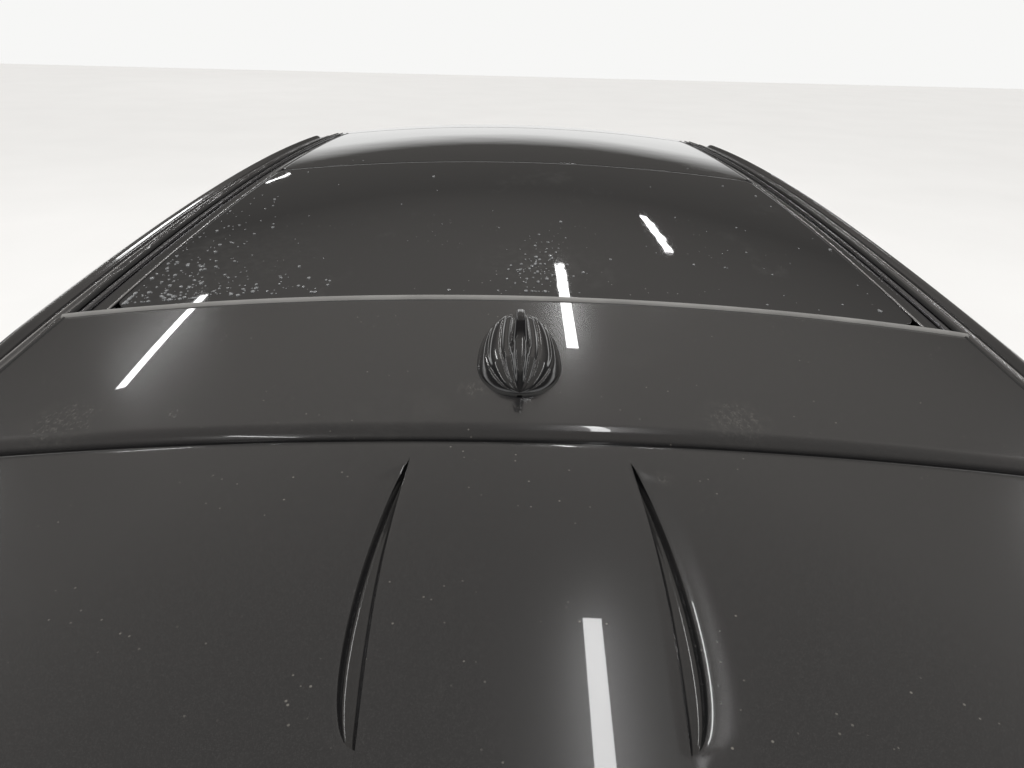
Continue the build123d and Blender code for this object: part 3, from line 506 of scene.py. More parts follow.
def makeRoof():
    gap, edge = glass["gap"], header["gap"]
    for name, front, rear, corner, stands in (
            ("roofPaneRear", glass["seam"] + gap, glass["rear"] - edge, 0.03, ("roof_glass",)),
            ("roofPaneFront", glass["front"] + edge, glass["seam"] - gap, 0.02, ())):
        plate = roofPlate(glass["half"] - gap, front, rear, corner, 0.001)
        settle(surface(60, 80, plate, glass["thick"], 0.0012), name, "body", roofGlassDark, 40, stands)

    def tailStrip(u, v):
        x = (2 * u - 1) * roofStrip["half"]
        y = roofStrip["front"] + (roofStrip["rear"] - roofStrip["front"]) * (1 - (1 - v) ** 1.8)
        return (x, y, roofHeight(x, y) - rolled(roofStrip["rear"] - y, roofStrip["roll"]))
    strip = surface(70, 60, tailStrip, roofStrip["thick"])
    settle(strip, "roofTailPanel", "body", blackPaint, 40, ("roof_panel",))

    def headStrip(u, v):
        x = (1 - 2 * u) * roofStrip["half"]
        y = glass["front"] - edge - v * (header["long"] - header["bow"] * (x / glass["half"]) ** 2)
        return (x, y, roofHeight(x, y) - rolled((1 - v) * header["long"], header["roll"]))
    head = surface(50, 16, headStrip, roofStrip["thick"], 0.002)
    settle(head, "roofHeadPanel", "body", blackPaint, 40)
    for side, sign in sides.items():
        def edgeStrip(u, v):
            out = u if sign > 0 else 1 - u
            x = sign * (glass["half"] + out * (roofStrip["half"] - glass["half"]))
            y = glass["front"] - edge + v * (glass["rear"] - glass["front"] + edge)
            return (x, y, roofHeight(x, y) - 0.004)
        channel = surface(4, 60, edgeStrip, roofStrip["thick"])
        closeUp(channel, False)
        settle(channel, f"roofChannel_{side}", "body", pianoBlack, 40)

    def board(u, v):
        x, y = (2 * u - 1) * lining["half"], lining["front"] + v * lining["long"]
        return (x, y, roofHeight(x, y) - lining["below"])
    settle(surface(20, 40, board, 0.006, 0.002), "roofLiningBoard", "body", liningGrey)


makeRoof()
print("roof made")


# Thin lines that lie along the roof: seals, seams and bright trims, and on each rail two bright metal strips
# that are painted highlights along its edges
crossLines = (("glassRearSeal", greySeal, 0.552, roofStrip["front"], 0.011, 0.0035),
              ("glassSeamSeal", sealRubber, 0.497, glass["seam"], 0.010, 0.0010),
              ("glassFrontSeal", sealRubber, 0.520, glass["front"], 0.012, 0.0012))
sideLines = (("glassSideTrim", brightTrim, (0.4995, -0.27), (0.4995, 1.253), 0.0050, 0.0020, 90),
             ("channelTrim", darkChrome, (0.528, -0.33), (0.533, 1.253), 0.0085, 0.0015, 90),
             ("channelSeal", sealRubber, (0.5485, -0.36), (0.5485, 1.538), 0.0070, 0.0012, 110),
             # The next two are painted highlights: bright metal strips laid along the gloss black rail's
             # edges, where the rail only catches light
             ("railFootPaintedHighlight", brightTrim, (0.566, -0.30), (0.566, 1.53), 0.0045, 0.0022, 90),
             ("railOuterPaintedHighlight", brightTrim, (0.6145, -0.30), (0.6145, 1.53), 0.0040, 0.0020, 90))
lineSink = 0.003


def roofLine(name, finish, start, end, wide, proud, steps=60):
    (x0, y0), (x1, y1) = start, end
    length = math.hypot(x1 - x0, y1 - y0)
    ax, ay = -(y1 - y0) / length, (x1 - x0) / length

    def place(u, v):
        off = (u - 0.5) * wide
        x, y = x0 + (x1 - x0) * v + ax * off, y0 + (y1 - y0) * v + ay * off
        return (x, y, roofHeight(x, y) + (proud + lineSink) * math.sin(math.pi * u) ** 0.5 - lineSink)
    settle(tube(8, steps, place), name, "body", finish, 50)


def makeRoofLines():
    for name, finish, half, y, wide, proud in crossLines:
        roofLine(name, finish, (half, y), (-half, y), wide, proud)
    for side, sign in sides.items():
        for name, finish, (x0, y0), (x1, y1), wide, proud, steps in sideLines:
            roofLine(f"{name}_{side}", finish, (sign * x0, y0), (sign * x1, y1), wide, proud, steps)


def makeRails():
    rail = {"x": 0.590, "half": 0.021, "narrow": 0.55, "front": -0.330, "rear": 1.538, "ends": (0.07, 0.14),
            "rise": 0.013, "least": 0.005, "ridge": 0.0022, "sink": 0.004}

    def place(u, v):
        y = rail["front"] + (rail["rear"] - rail["front"]) * v
        ends = smoothStep(v, 0, rail["ends"][0]) * smoothStep(1 - v, 0, rail["ends"][1])
        wide = rail["narrow"] + (1 - rail["narrow"]) * ends
        x = rail["x"] - rail["half"] * math.cos(math.pi * u) * wide
        ridges = rail["ridge"] * math.cos(6 * math.pi * u) * math.sin(math.pi * u)
        rise = (rail["rise"] * ends + rail["least"]) * math.sin(math.pi * u) ** 0.7
        return (x, y, roofHeight(x, y) - rail["sink"] + rise + ridges)
    bothSides(lambda: tube(32, 110, place), "roofRail", "body", pianoBlack, 60)
    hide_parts("roof_rails")


def makeAntenna():
    fin = {"front": 1.316, "rear": 1.480, "half": 0.0425, "wide": 0.62, "dome": 0.023, "blade": 0.19,
           "flutes": ((0.44, 0.0020), (0.76, 0.0016)), "fluteWide": 0.05, "lip": 0.0022, "collar": 0.0028}
    ridge = ((0, 0), (0.2, 0.020), (0.45, 0.040), (0.58, 0.053), (0.66, 0.0560), (0.70, 0.0545),
             (0.74, 0.036), (0.86, 0.030), (0.95, 0.020), (1.0, 0.0))

    def ridgeAt(t):
        for (t0, h0), (t1, h1) in zip(ridge, ridge[1:]):
            if t <= t1:
                return h0 + (h1 - h0) * (t - t0) / (t1 - t0)
        return 0.0

    def halfAt(t):
        away = (fin["wide"] - t) / fin["wide"] if t < fin["wide"] else (t - fin["wide"]) / (1 - fin["wide"])
        return max(fin["half"] * math.sqrt(max(1 - away ** 2.2, 0)), 0.0002)

    def place(u, v):
        half = halfAt(v)
        s = 2 * crowded(u, -0.66) - 1
        x = half * s
        dome = fin["dome"] * min(1, half / fin["half"] * 1.15) ** 1.4 * (1 - abs(s) ** 2.8)
        flutes = sum(deep * math.exp(-((abs(s) - at) / fin["fluteWide"]) ** 2) for at, deep in fin["flutes"])
        blade = max(ridgeAt(v) - dome, 0) * math.exp(-abs(s / fin["blade"]) ** 4)
        foot = -0.004 if abs(s) > 0.999 else 0.0
        y = fin["front"] + (fin["rear"] - fin["front"]) * v
        base = roofHeight(x, y) + fin["lip"] * (1 - abs(s) ** 12)
        return (x, y, base + dome - flutes * half / fin["half"] + blade + foot)
    settle(tube(140, 110, place), "antennaFin", "body", pianoBlack, 60, ("roof_antenna",))

    def collar(u, v):
        half = halfAt(v) + fin["collar"]
        y = fin["front"] - 0.003 + (fin["rear"] - fin["front"] + 0.006) * v
        s = 2 * u - 1
        return (half * s, y, roofHeight(half * s, y) - 0.001 + 0.0026 * (1 - abs(s) ** 10))
    settle(tube(24, 60, collar), "antennaGasket", "body", sealRubber, 60)


# Beads of water on the glass: each cluster has its middle, its spread across and along, and a count
dropClusters = ((0.455, 1.175, 0.030, 0.075, 90), (0.38, 1.215, 0.075, 0.016, 90),
                (0.40, 1.13, 0.06, 0.05, 60), (-0.03, 1.16, 0.022, 0.060, 110), (0.45, 0.95, 0.025, 0.12, 40),
                (-0.30, 1.10, 0.12, 0.10, 25), (0.10, 0.9, 0.3, 0.25, 30))
drop = {"side": 0.485, "rear": 1.236, "least": 0.0009, "more": 0.0022, "rare": 2.5, "run": 1.2,
        "above": 0.0010, "sit": 0.12, "flat": 0.55}


def makeDrops():
    drops = []
    for x0, y0, wide, long, count in dropClusters:
        for number in range(count):
            x = max(-drop["side"], min(drop["side"], random.gauss(x0, wide)))
            y = min(drop["rear"], random.gauss(y0, long))
            size = drop["least"] + drop["more"] * random.random() ** drop["rare"]
            drops.append((x, y, size, 1 + random.random() * drop["run"]))
    hold()
    bpy.ops.mesh.primitive_ico_sphere_add(subdivisions=1, radius=1)
    bead = bpy.context.object
    shapes = []
    for x, y, size, long in drops:
        at = Matrix.Translation((x, y, roofHeight(x, y, drop["above"]) + size * drop["sit"]))
        shapes.append(copied(bead, at @ Matrix.Diagonal((size, size * long, size * drop["flat"], 1))))
    bpy.data.objects.remove(bead)
    settle(joined(shapes), "waterBeads", "body", waterDrop, 80)


makeRoofLines()
makeRails()
makeAntenna()
makeDrops()
print("roof lines, rails and antenna made")

# Tail spoiler with its two long crescent slots
wing = {"front": 1.5465, "tip": 2.010, "bow": 0.070, "frontHalf": 0.612, "rearHalf": 0.585, "corner": 0.045,
        "thick": 0.034, "roll": 0.015}
crescent = {"x": 0.0925, "front": 1.583, "length": 0.256, "slot": 0.0210, "nose": 0.6, "tail": 6,
            "least": 0.0003, "deep": 0.0095, "full": 0.0035, "dish": 0.019, "lip": 0.002, "dishDeep": 0.0012,
            "bow": 0.0055}
# Share across a slot, and how deep it is there
slotDepth = {-0.12: 0, 0.0: 0.03, 0.05: 0.42, 0.12: 0.85, 0.25: 1, 0.42: 1, 0.6: 1, 0.78: 0.98, 0.9: 0.82,
             0.96: 0.45, 1.0: 0.04}
brakeLamp = {"half": 0.17, "inset": 0.0065, "bow": 0.004, "below": 0.013, "tall": 0.010}
gapSeal = {"half": 0.60, "front": 1.530, "long": 0.030, "below": 0.0125}


def makeSpoiler():
    half = [("plain", k / 14) for k in range(14)]
    half += [("slot", share) for share in slotDepth]
    half += [("dish", k / 9) for k in range(1, 10)] + [("side", k / 20) for k in range(1, 21)]
    count = len(half)

    def place(u, v):
        number = round(u * (2 * count - 2)) - (count - 1)
        sign = 1 if number >= 0 else -1
        kind, share = half[abs(number)]
        v = 1 - v
        along = 1 - (1 - v) ** 1.25 if v > 0 else 0
        # x depends on y and y on the bowed rear edge at x, so three rounds bring them together
        x = 0.1
        for _ in range(3):
            rear = wing["tip"] - wing["bow"] * (x / wing["rearHalf"]) ** 2
            y = wing["front"] + (rear - wing["front"]) * along
            q = (y - crescent["front"]) / crescent["length"]
            inside = 0 < q < 1
            inner = crescent["x"] + crescent["bow"] * math.sin(math.pi * min(max(q, 0), 1))
            size = crescent["least"]
            if inside:
                swell = q ** crescent["nose"] * math.sqrt(1 - q ** crescent["tail"])
                size = max(size, crescent["slot"] * swell)
            reach = smoothStep(q, 0.0, 0.10) * smoothStep(1.09 - q, 0, 0.15)
            dish = crescent["dish"] * reach + crescent["lip"]
            span = wing["frontHalf"] + (wing["rearHalf"] - wing["frontHalf"]) * along
            span -= rolled((1 - along) * (wing["tip"] - wing["front"]), wing["corner"])
            if kind == "plain":
                x = share * (inner + min(slotDepth) * size)
            elif kind == "slot":
                x = inner + share * size
            elif kind == "dish":
                x = inner + size + share * dish
            else:
                x = inner + size + dish + share * (span - inner - size - dish)
        low = 0.0
        if inside and kind == "slot":
            low = crescent["deep"] * slotDepth[share] * min(1, size / crescent["full"])
        if kind == "dish":
            low += crescent["dishDeep"] * (0.5 + 0.5 * math.cos(math.pi * share)) * reach
        elif kind == "slot":
            low += crescent["dishDeep"] * max(share, 0) * reach
        low += rolled(min(y - wing["front"], rear - y, span - x), wing["roll"])
        return (sign * x, y, roofHeight(x, y) - low)
    piece = tube(2 * count - 2, 170, place, False)
    thickened(piece, wing["thick"] - wing["roll"])
    settle(piece, "spoilerWing", "tailgate", blackPaint, 50, ("rear_spoiler",))

    def lamp(u, v):
        x = (2 * u - 1) * brakeLamp["half"]
        tip = wing["tip"] - wing["bow"] * (x / wing["rearHalf"]) ** 2
        y = tip - brakeLamp["inset"] + brakeLamp["bow"] * math.sin(math.pi * v)
        return (x, y, roofHeight(x, y) - brakeLamp["below"] - brakeLamp["tall"] * v)
    brake = surface(30, 6, lamp, 0.004, 0.001)
    settle(brake, "highBrakeLamp", "tailgate", lampRed)

    def gutter(u, v):
        x, y = (2 * u - 1) * gapSeal["half"], gapSeal["front"] + gapSeal["long"] * v
        return (x, y, roofHeight(x, y) - gapSeal["below"])
    settle(surface(60, 4, gutter, 0.003), "spoilerGapSeal", "body", sealRubber)


makeSpoiler()
print("spoiler made")


# Panels that the trims lie on: the body side's own arcs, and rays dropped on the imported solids
sideArcs = (((0.9275, 0.305), (0.964, 0.645), (0.961, 0.905)),
            ((0.961, 0.905), (0.945, 0.9895), (0.901, 1.062)),
            ((0.901, 1.062), (0.794, 1.326), (0.643, 1.590)))
sideBow = {"middle": 0.1, "radius": 60.0}


def arcThrough(points, height):
    (ax, az), (bx, bz), (cx, cz) = points
    d = 2 * (ax * (bz - cz) + bx * (cz - az) + cx * (az - bz))
    a, b, c = ax * ax + az * az, bx * bx + bz * bz, cx * cx + cz * cz
    midX = (a * (bz - cz) + b * (cz - az) + c * (az - bz)) / d
    midZ = (a * (cx - bx) + b * (ax - cx) + c * (bx - ax)) / d
    radius = math.hypot(ax - midX, az - midZ)
    return midX + math.sqrt(max(radius ** 2 - (height - midZ) ** 2, 0))


def sideAt(y, z, lift=0.0):
    arc = sideArcs[sum(z >= arc[-1][1] for arc in sideArcs[:2])]
    bow = (y - sideBow["middle"]) ** 2 / (2 * sideBow["radius"])
    return Vector((arcThrough(arc, z) - bow + lift, y, z))


def skinOf(*names):
    points, faces = [], []
    for name in names:
        first = len(points)
        points += [nodes[name].matrix_world @ vertex.co for vertex in nodes[name].data.vertices]
        faces += [[first + k for k in face.vertices] for face in nodes[name].data.polygons]
    return BVHTree.FromPolygons(points, faces)


frontSkin = skinOf("front_bumper", "bonnet", "lamps", "front_fenders")
rearSkin = skinOf("tailgate", "rear_bumper", "lamps", "rear_glass", "side_frames")
topSkin = skinOf("bonnet", "windscreen", "roof_panel", "front_fenders")


def frontAt(x, z, lift=0.0):
    spot = frontSkin.ray_cast(Vector((x, -3, z)), Vector((0, 1, 0)))[0]
    return Vector((x, (spot.y if spot else -2.2) - lift, z))


def rearAt(x, z, lift=0.0):
    spot = rearSkin.ray_cast(Vector((x, 3, z)), Vector((0, -1, 0)))[0]
    return Vector((x, (spot.y if spot else 2.2) + lift, z))


def topAt(x, y, lift=0.0):
    spot = topSkin.ray_cast(Vector((x, y, 3)), Vector((0, 0, -1)))[0]
    return Vector((x, y, (spot.z if spot else 1.0) + lift))


def resampled(points, closed, step):
    ring = list(points) + ([points[0]] if closed else [])
    line = []
    for (a0, b0), (a1, b1) in zip(ring, ring[1:]):
        count = max(1, int(math.hypot(a1 - a0, b1 - b0) / step))
        line += [(a0 + (a1 - a0) * k / count, b0 + (b1 - b0) * k / count) for k in range(count)]
    return line + [ring[-1]]


def ribbon(points, wide, skin, proud, closed=False, arch=0.6, step=0.04, thick=0.0015):
    line = resampled(points, closed, step)
    last = len(line) - 1
    across = []
    for k in range(last + 1):
        before = line[k - 1] if k else (line[-2] if closed else None)
        after = line[k + 1] if k < last else (line[1] if closed else None)
        ways = []
        for start, end in ((before, line[k]), (line[k], after)):
            if start and end:
                length = math.hypot(end[0] - start[0], end[1] - start[1])
                ways.append(((start[1] - end[1]) / length, (end[0] - start[0]) / length))
        na, nb = sum(w[0] for w in ways) / len(ways), sum(w[1] for w in ways) / len(ways)
        size = max(na * na + nb * nb, 0.35)
        across.append((na / size, nb / size))

    def place(u, v):
        k = round(v * last)
        off = (u - 0.5) * wide
        a, b = line[k][0] + across[k][0] * off, line[k][1] + across[k][1] * off
        return skin(a, b, -0.001 + (proud + 0.001) * math.sin(math.pi * u) ** arch)
    piece = tube(6, last, place, False)
    thickened(piece, thick)
    return piece


def patch(columns, rows, flat, skin, lift, thick=0.002, bevel=0.0006):
    piece = tube(columns, rows, lambda u, v: skin(*flat(u, v), lift), False)
    thickened(piece, thick)
    if bevel:
        bevelled(piece, bevel, 50)
    return piece


def between(low, high):
    return lambda u, v: (low[0] + (high[0] - low[0]) * u, low[1] + (high[1] - low[1]) * v)


def spread(start, end, count):
    return [tuple(a + (b - a) * k / count for a, b in zip(start, end)) for k in range(count + 1)]


# Wheels: tyres with grooves and blocks, hub caps, bolts and brake calipers
wheel = {"x": 0.810, "z": 0.369, "front": -1.560, "rear": 1.330, "steps": 210}
tread = {"half": 0.096, "deep": 0.0075, "grooves": (-0.063, -0.022, 0.022, 0.063), "cut": 0.0045,
         "fall": 0.0045, "lip": 0.006, "thick": 0.006, "slant": 16}
sideWall = ((0.1075, 0.2570), (0.1160, 0.2650), (0.1215, 0.2790), (0.1235, 0.2900), (0.1230, 0.2915),
            (0.1243, 0.3040), (0.1248, 0.3060), (0.1240, 0.3200), (0.1218, 0.3320), (0.1222, 0.3335),
            (0.1165, 0.3450), (0.1090, 0.3560), (0.1020, 0.3615))
hubRings = ((0.004, 0.0005), (0.0215, 0.0006), (0.0225, 0.018), (0.0205, 0.0265), (0.017, 0.0300),
            (0.006, 0.0310), (0.004, 0.0005))
bolt = {"count": 5, "circle": 0.0560, "radius": 0.0095, "depth": 0.016, "out": 0.013}
caliper = {"from": -8, "sweep": 56, "reach": 0.158, "tall": 0.030, "across": -0.0455, "half": 0.040}


def treadRadius(across):
    return wheel["z"] - tread["fall"] * (across / tread["half"]) ** 2


def makeTyre():
    rows = [(-a, radius, "wall") for a, radius in sideWall]

    def land(start, stop):
        return [(a, treadRadius(a), "top") for a in (start, (start + stop) / 2, stop)]
    start = -tread["half"]
    for groove in tread["grooves"]:
        rows += land(start, groove - tread["lip"])
        low = treadRadius(groove) - tread["deep"]
        rows += [(groove + side * tread["cut"], low, "low") for side in (-1, 1)]
        start = groove + tread["lip"]
    rows += land(start, tread["half"])
    rows += [(a, radius, "wall") for a, radius in reversed(sideWall)]

    def place(u, v):
        across, radius, kind = rows[round(v * (len(rows) - 1))]
        step = round(u * wheel["steps"]) % wheel["steps"]
        ribs = 0 if abs(across) > 0.068 else 2 if abs(across) < 0.02 else 1
        if kind == "top" and (step + 2 * ribs) % 5 == 0:
            radius -= tread["deep"] * (0.8 if ribs == 0 else 0.45)
        slant = across * tread["slant"] if kind != "wall" else 0
        return (across, *around((step + slant) / wheel["steps"], radius))
    piece = tube(wheel["steps"], len(rows) - 1, place, False)
    thickened(piece, tread["thick"])
    return piece


def makeWheelTrim():
    parts = [turned(48, hubRings, lambda along, a, b: (along, a, b))]
    for number in range(bolt["count"]):
        place = (bolt["out"], *around((number + 0.5) / bolt["count"], bolt["circle"]))
        hold()
        bpy.ops.mesh.primitive_cylinder_add(vertices=6, radius=bolt["radius"], depth=bolt["depth"],
                                            rotation=(0, math.pi / 2, 0), location=place)
        head = bpy.context.object
        bpy.ops.object.transform_apply(location=True, rotation=True, scale=True)
        bevelled(head, 0.0016, 34)
        parts.append(head)
    return joined(parts)


def makeCaliper():
    def place(u, v):
        angle = math.radians(caliper["from"] + caliper["sweep"] * v)
        ends = smoothStep(min(v, 1 - v), 0, 0.16)
        high, out = around(u, 1)
        reach = caliper["reach"] + caliper["tall"] * high * (0.75 + 0.25 * ends)
        across = caliper["across"] + caliper["half"] * squared(out, 0.5) * (0.6 + 0.4 * ends)
        return (across, reach * math.cos(angle), reach * math.sin(angle))
    return tube(28, 26, place)


def makeWheels():
    tyre, trim, brake = makeTyre(), makeWheelTrim(), makeCaliper()
    for end in ("front", "rear"):
        for side, sign in sides.items():
            at = Matrix.Translation((sign * wheel["x"], wheel[end], wheel["z"]))
            turn = at if sign > 0 else at @ flipped
            name = f"{end}_{side}"
            holder = "body" if end == "rear" else f"knuckle_{side}"
            hub = f"wheel_{name}"
            settle(copied(tyre, turn), f"tyreTread_{name}", hub, tyreRubber, 26, (f"tyre_{name}",))
            settle(copied(trim, turn), f"hubTrim_{name}", hub, darkChrome, 30)
            settle(copied(brake, turn), f"brakeCaliper_{name}", holder, castMetal, 50)
    for piece in (tyre, trim, brake):
        bpy.data.objects.remove(piece)


makeWheels()
print("wheels made")

# Front: lamps, grille bars, intake mesh, blank plate, bumper lip and the trim over the grille
lens = ((0.476, 0.738), (0.474, 0.822), (0.760, 0.850), (0.925, 0.842), (0.925, 0.760))
dayLine = ((0.50, 0.757), (0.497, 0.808), (0.755, 0.833), (0.885, 0.830))
projector = {"spots": ((0.560, 0.026), (0.640, 0.026), (0.715, 0.022)), "z": 0.790, "sweep": 0.16}
grille = {"low": 0.668, "step": 0.044, "count": 5, "half": 0.430, "taper": 0.014, "below": 0.0065}
intakes = ((0.356, 0.400, 0.552), (0.428, 0.472, 0.592))
lip = {"half": 0.80, "z": 0.316, "rise": 0.010, "steps": 32}
frontPlate = {"half": 0.26, "low": 0.502, "high": 0.613, "rim": 0.008}


def makeFront():
    bothSides(lambda: ribbon(lens, 0.010, frontAt, 0.0022, True), "headlampRim", "body", pianoBlack, 40)
    bothSides(lambda: ribbon(dayLine, 0.011, frontAt, 0.0035), "dayLight", "body", lampWhite, 40)

    def projectors():
        parts = []
        for x, size in projector["spots"]:
            centre = frontAt(x, projector["z"])
            rings = ((-0.001, size), (0.004, size), (0.005, size - 0.003), (0.001, size - 0.005),
                     (0.0035, size * 0.55), (0.0048, 0.0004))
            parts.append(turned(28, rings, lambda out, a, b: (
                centre.x + a, centre.y - out + projector["sweep"] * a, centre.z + b)))
        return joined(parts)
    bothSides(projectors, "headlampProjectors", "body", brightTrim, 35)
    for number in range(grille["count"]):
        half = grille["half"] - grille["taper"] * abs(number - 2) - 0.004
        z = grille["low"] + grille["step"] * number - grille["below"]
        bar = ribbon([(-half, z), (half, z)], 0.009, frontAt, 0.004, step=0.05)
        settle(bar, f"grilleBar_{number + 1}", "body", darkChrome, 50)
    for number, (low, high, half) in enumerate(intakes):
        def mesh(u, v):
            x = (2 * u - 1) * half
            skin = max(frontAt(x, (low + high) / 2).y, -2.405)
            return (x, skin + 0.030 + 0.004 * (round(u * 90) % 2), low - 0.002 + (high - low + 0.004) * v)
        settle(surface(90, 6, mesh, 0.004), f"intakeMesh_{number + 1}", "body", mouldedBlack, 30)
    half, low, high, rim = (frontPlate[k] for k in ("half", "low", "high", "rim"))
    holder = between((half + rim, low - rim), (-half - rim, high + rim))
    settle(patch(20, 6, holder, frontAt, 0.004, 0.006, 0.002), "frontPlateHolder", "body", mouldedBlack)
    plate = patch(20, 6, between((half, low), (-half, high)), frontAt, 0.0068, 0.0028, 0.001)
    settle(plate, "frontPlate", "body", plateBlank)
    lipLine = [(x, lip["z"] + lip["rise"] * abs(x) / lip["half"])
               for x, _ in spread((-lip["half"], 0), (lip["half"], 0), lip["steps"])]
    settle(ribbon(lipLine, 0.030, frontAt, 0.010, step=0.06), "frontLip", "body", mouldedBlack, 50)
    bonnetEdge = ribbon(spread((-0.46, 0.9085), (0.46, 0.9085), 20), 0.012, frontAt, 0.004, step=0.05)
    settle(bonnetEdge, "grilleTopTrim", "bonnet", darkChrome, 50)


makeFront()
print("front made")

# Rear: lamps, reflectors, blank plate, bumper guard, tailgate surround, wiper and exhaust trims
rearPlate = ((-0.26, 0.7905), (0.26, 0.9015))
lampStart = 0.672
rearLamps = (("tailLampBars", (lampStart, 0.875), (0.912, 0.934), 0.012, lampRed),
             ("tailIndicator", (lampStart, 0.860), (0.957,), 0.012, lampAmber),
             ("reverseLamp", (lampStart, 0.800), (0.978,), 0.010, lampWhite),
             ("bumperReflector", (0.50, 0.72), (0.47,), 0.024, lampRed))
rearLines = (("tailgateHandleBar", 0.33, 0.927, 0.026, 0.013, "tailgate", darkChrome),
             ("bumperTopGuard", 0.50, 0.6905, 0.010, 0.003, "body", mouldedBlack))
valance = ((-0.40, 0.425), (0.40, 0.452))
# The strip between the tailgate's edge and the lamps: that edge has three corners, (half width, height)
surroundForm = {"low": 0.697, "tall": 0.190, "outer": 0.699, "gap": 0.009, "y": 2.406, "radius": 4.2,
                "edge": ((0.470, 0.700), (0.560, 0.735), (0.632, 0.870))}
wiper = {"pivot": (0.0, 1.150), "arm": ((-0.10, 1.172), (-0.205, 1.194)), "blade": (-0.09, 1.164),
         "tip": (-0.30, 1.215), "rings": ((0.0, 0.022), (0.016, 0.021), (0.020, 0.016), (0.021, 0.0004))}
pipeEnd = {"x": 0.495, "z": 0.360, "wide": 0.070, "tall": 0.034, "rings": (
    (2.250, 1.00), (2.352, 1.00), (2.356, 0.96), (2.352, 0.90), (2.270, 0.88), (2.250, 1.00))}


def makeRear():
    for name, (start, stop), heights, wide, finish in rearLamps:
        def bars():
            return joined([ribbon([(start, z), (stop, z)], wide, rearAt, 0.0040, step=0.03) for z in heights])
        bothSides(bars, name, "body", finish, 40)
    plate = patch(24, 8, between(*rearPlate), rearAt, 0.0035, 0.003, 0.001)
    settle(plate, "rearPlate", "tailgate", plateBlank)
    for name, half, z, wide, proud, body, finish in rearLines:
        line = ribbon(spread((-half, z), (half, z), 20), wide, rearAt, proud, step=0.05)
        settle(line, name, body, finish, 50)
    settle(patch(40, 4, between(*valance), rearAt, 0.004, 0.004, 0.001), "lowerValance", "body", mouldedBlack)

    def surroundPlace(u, v):
        form = surroundForm
        z = form["low"] + form["tall"] * v
        (x0, z0), (x1, z1) = form["edge"][:2] if z < form["edge"][1][1] else form["edge"][1:]
        inner = x0 + (x1 - x0) * (z - z0) / (z1 - z0) + form["gap"]
        x = inner + (form["outer"] - inner) * (1 - u)
        return (x, form["y"] - (form["radius"] - math.sqrt(form["radius"] ** 2 - x ** 2)), z)
    bothSides(lambda: surface(8, 14, surroundPlace, 0.012, 0.002), "tailgateSurround", "body",
              blackPaint, 40)
    centre = rearAt(*wiper["pivot"])
    arm = ribbon([wiper["pivot"], *wiper["arm"]], 0.012, rearAt, 0.014, thick=0.006)
    blade = ribbon([wiper["blade"], wiper["tip"]], 0.009, rearAt, 0.009, thick=0.006)
    cap = turned(28, wiper["rings"], lambda out, a, b: (
        centre.x + a, centre.y + out - 0.55 * b, centre.z + b))
    settle(joined([arm, blade, cap]), "rearWiper", "tailgate", mouldedBlack, 40)

    def pipePlace(u, v):
        y, size = pipeEnd["rings"][round(v * 5)]
        a, b = around(u, 1)
        return (pipeEnd["x"] + pipeEnd["wide"] * size * squared(a, 0.6), y,
                pipeEnd["z"] + pipeEnd["tall"] * size * squared(b, 0.6))
    bothSides(lambda: tube(40, 5, pipePlace, False), "exhaustTrim", "body", brightTrim, 40)


makeRear()
print("rear made")

# Sides: window seals, belt trims, swage lines, guards, gloss pillars, handles, mirrors and flap line
frontWindow = ((-0.800, 1.092), (-0.330, 1.498), (-0.060, 1.520), (-0.048, 1.092))
rearWindow = ((0.112, 1.092), (0.112, 1.518), (0.930, 1.510), (1.000, 1.440), (1.040, 1.100))
quarterWindow = ((1.245, 1.112), (1.180, 1.440), (1.230, 1.478), (1.440, 1.462), (1.760, 1.180),
                 (1.700, 1.118))
# Each door's window, then where its belt trim, swage line and guard start and stop, along the car
doors = (("front", frontWindow, (-0.865, 0.012), (-1.015, -0.018), (-0.985, 0.012)),
         ("rear", rearWindow, (0.052, 1.130), (0.052, 1.100), (0.055, 0.850)))
beltHeight = 1.0735
swageHeight = 0.838
guardHeights = (0.392, 0.442)
# Gloss covers on the pillars: start and stop at the foot, the same at the top, height and the body
pillarFoot = 1.084
pillars = (("pillarCoverFront", (-0.041, 0.0235), (-0.041, 0.0235), 0.461, "front_door_{}"),
           ("pillarCoverRear", (0.0400, 0.105), (0.0400, 0.105), 0.459, "rear_door_{}"),
           ("cornerCover", (1.046, 1.151), (1.006, 1.094), 0.376, "rear_door_{}"),
           ("quarterPillarCover", (1.164, 1.236), (1.108, 1.173), 0.376, "body"))
handles = (("front", -0.220, 0.905), ("rear", 0.785, 0.925))
handleForm = {"before": -0.005, "long": 0.212, "half": 0.0142, "out": 0.0095, "round": 0.0040}
fuelFlap = {"y": 1.585, "z": 0.985, "long": 0.082, "tall": 0.062, "points": 40}
mirror = {"x": 0.928, "wide": 0.166, "y": -0.8045, "bow": 0.003, "z": 1.074, "tall": 0.112}
flash = {"x": 0.945, "wide": 0.160, "y": -0.9185, "bow": 0.018, "z": 1.142, "tall": 0.012}
archClip = {"circle": 0.442, "half": 0.004, "step": 20}


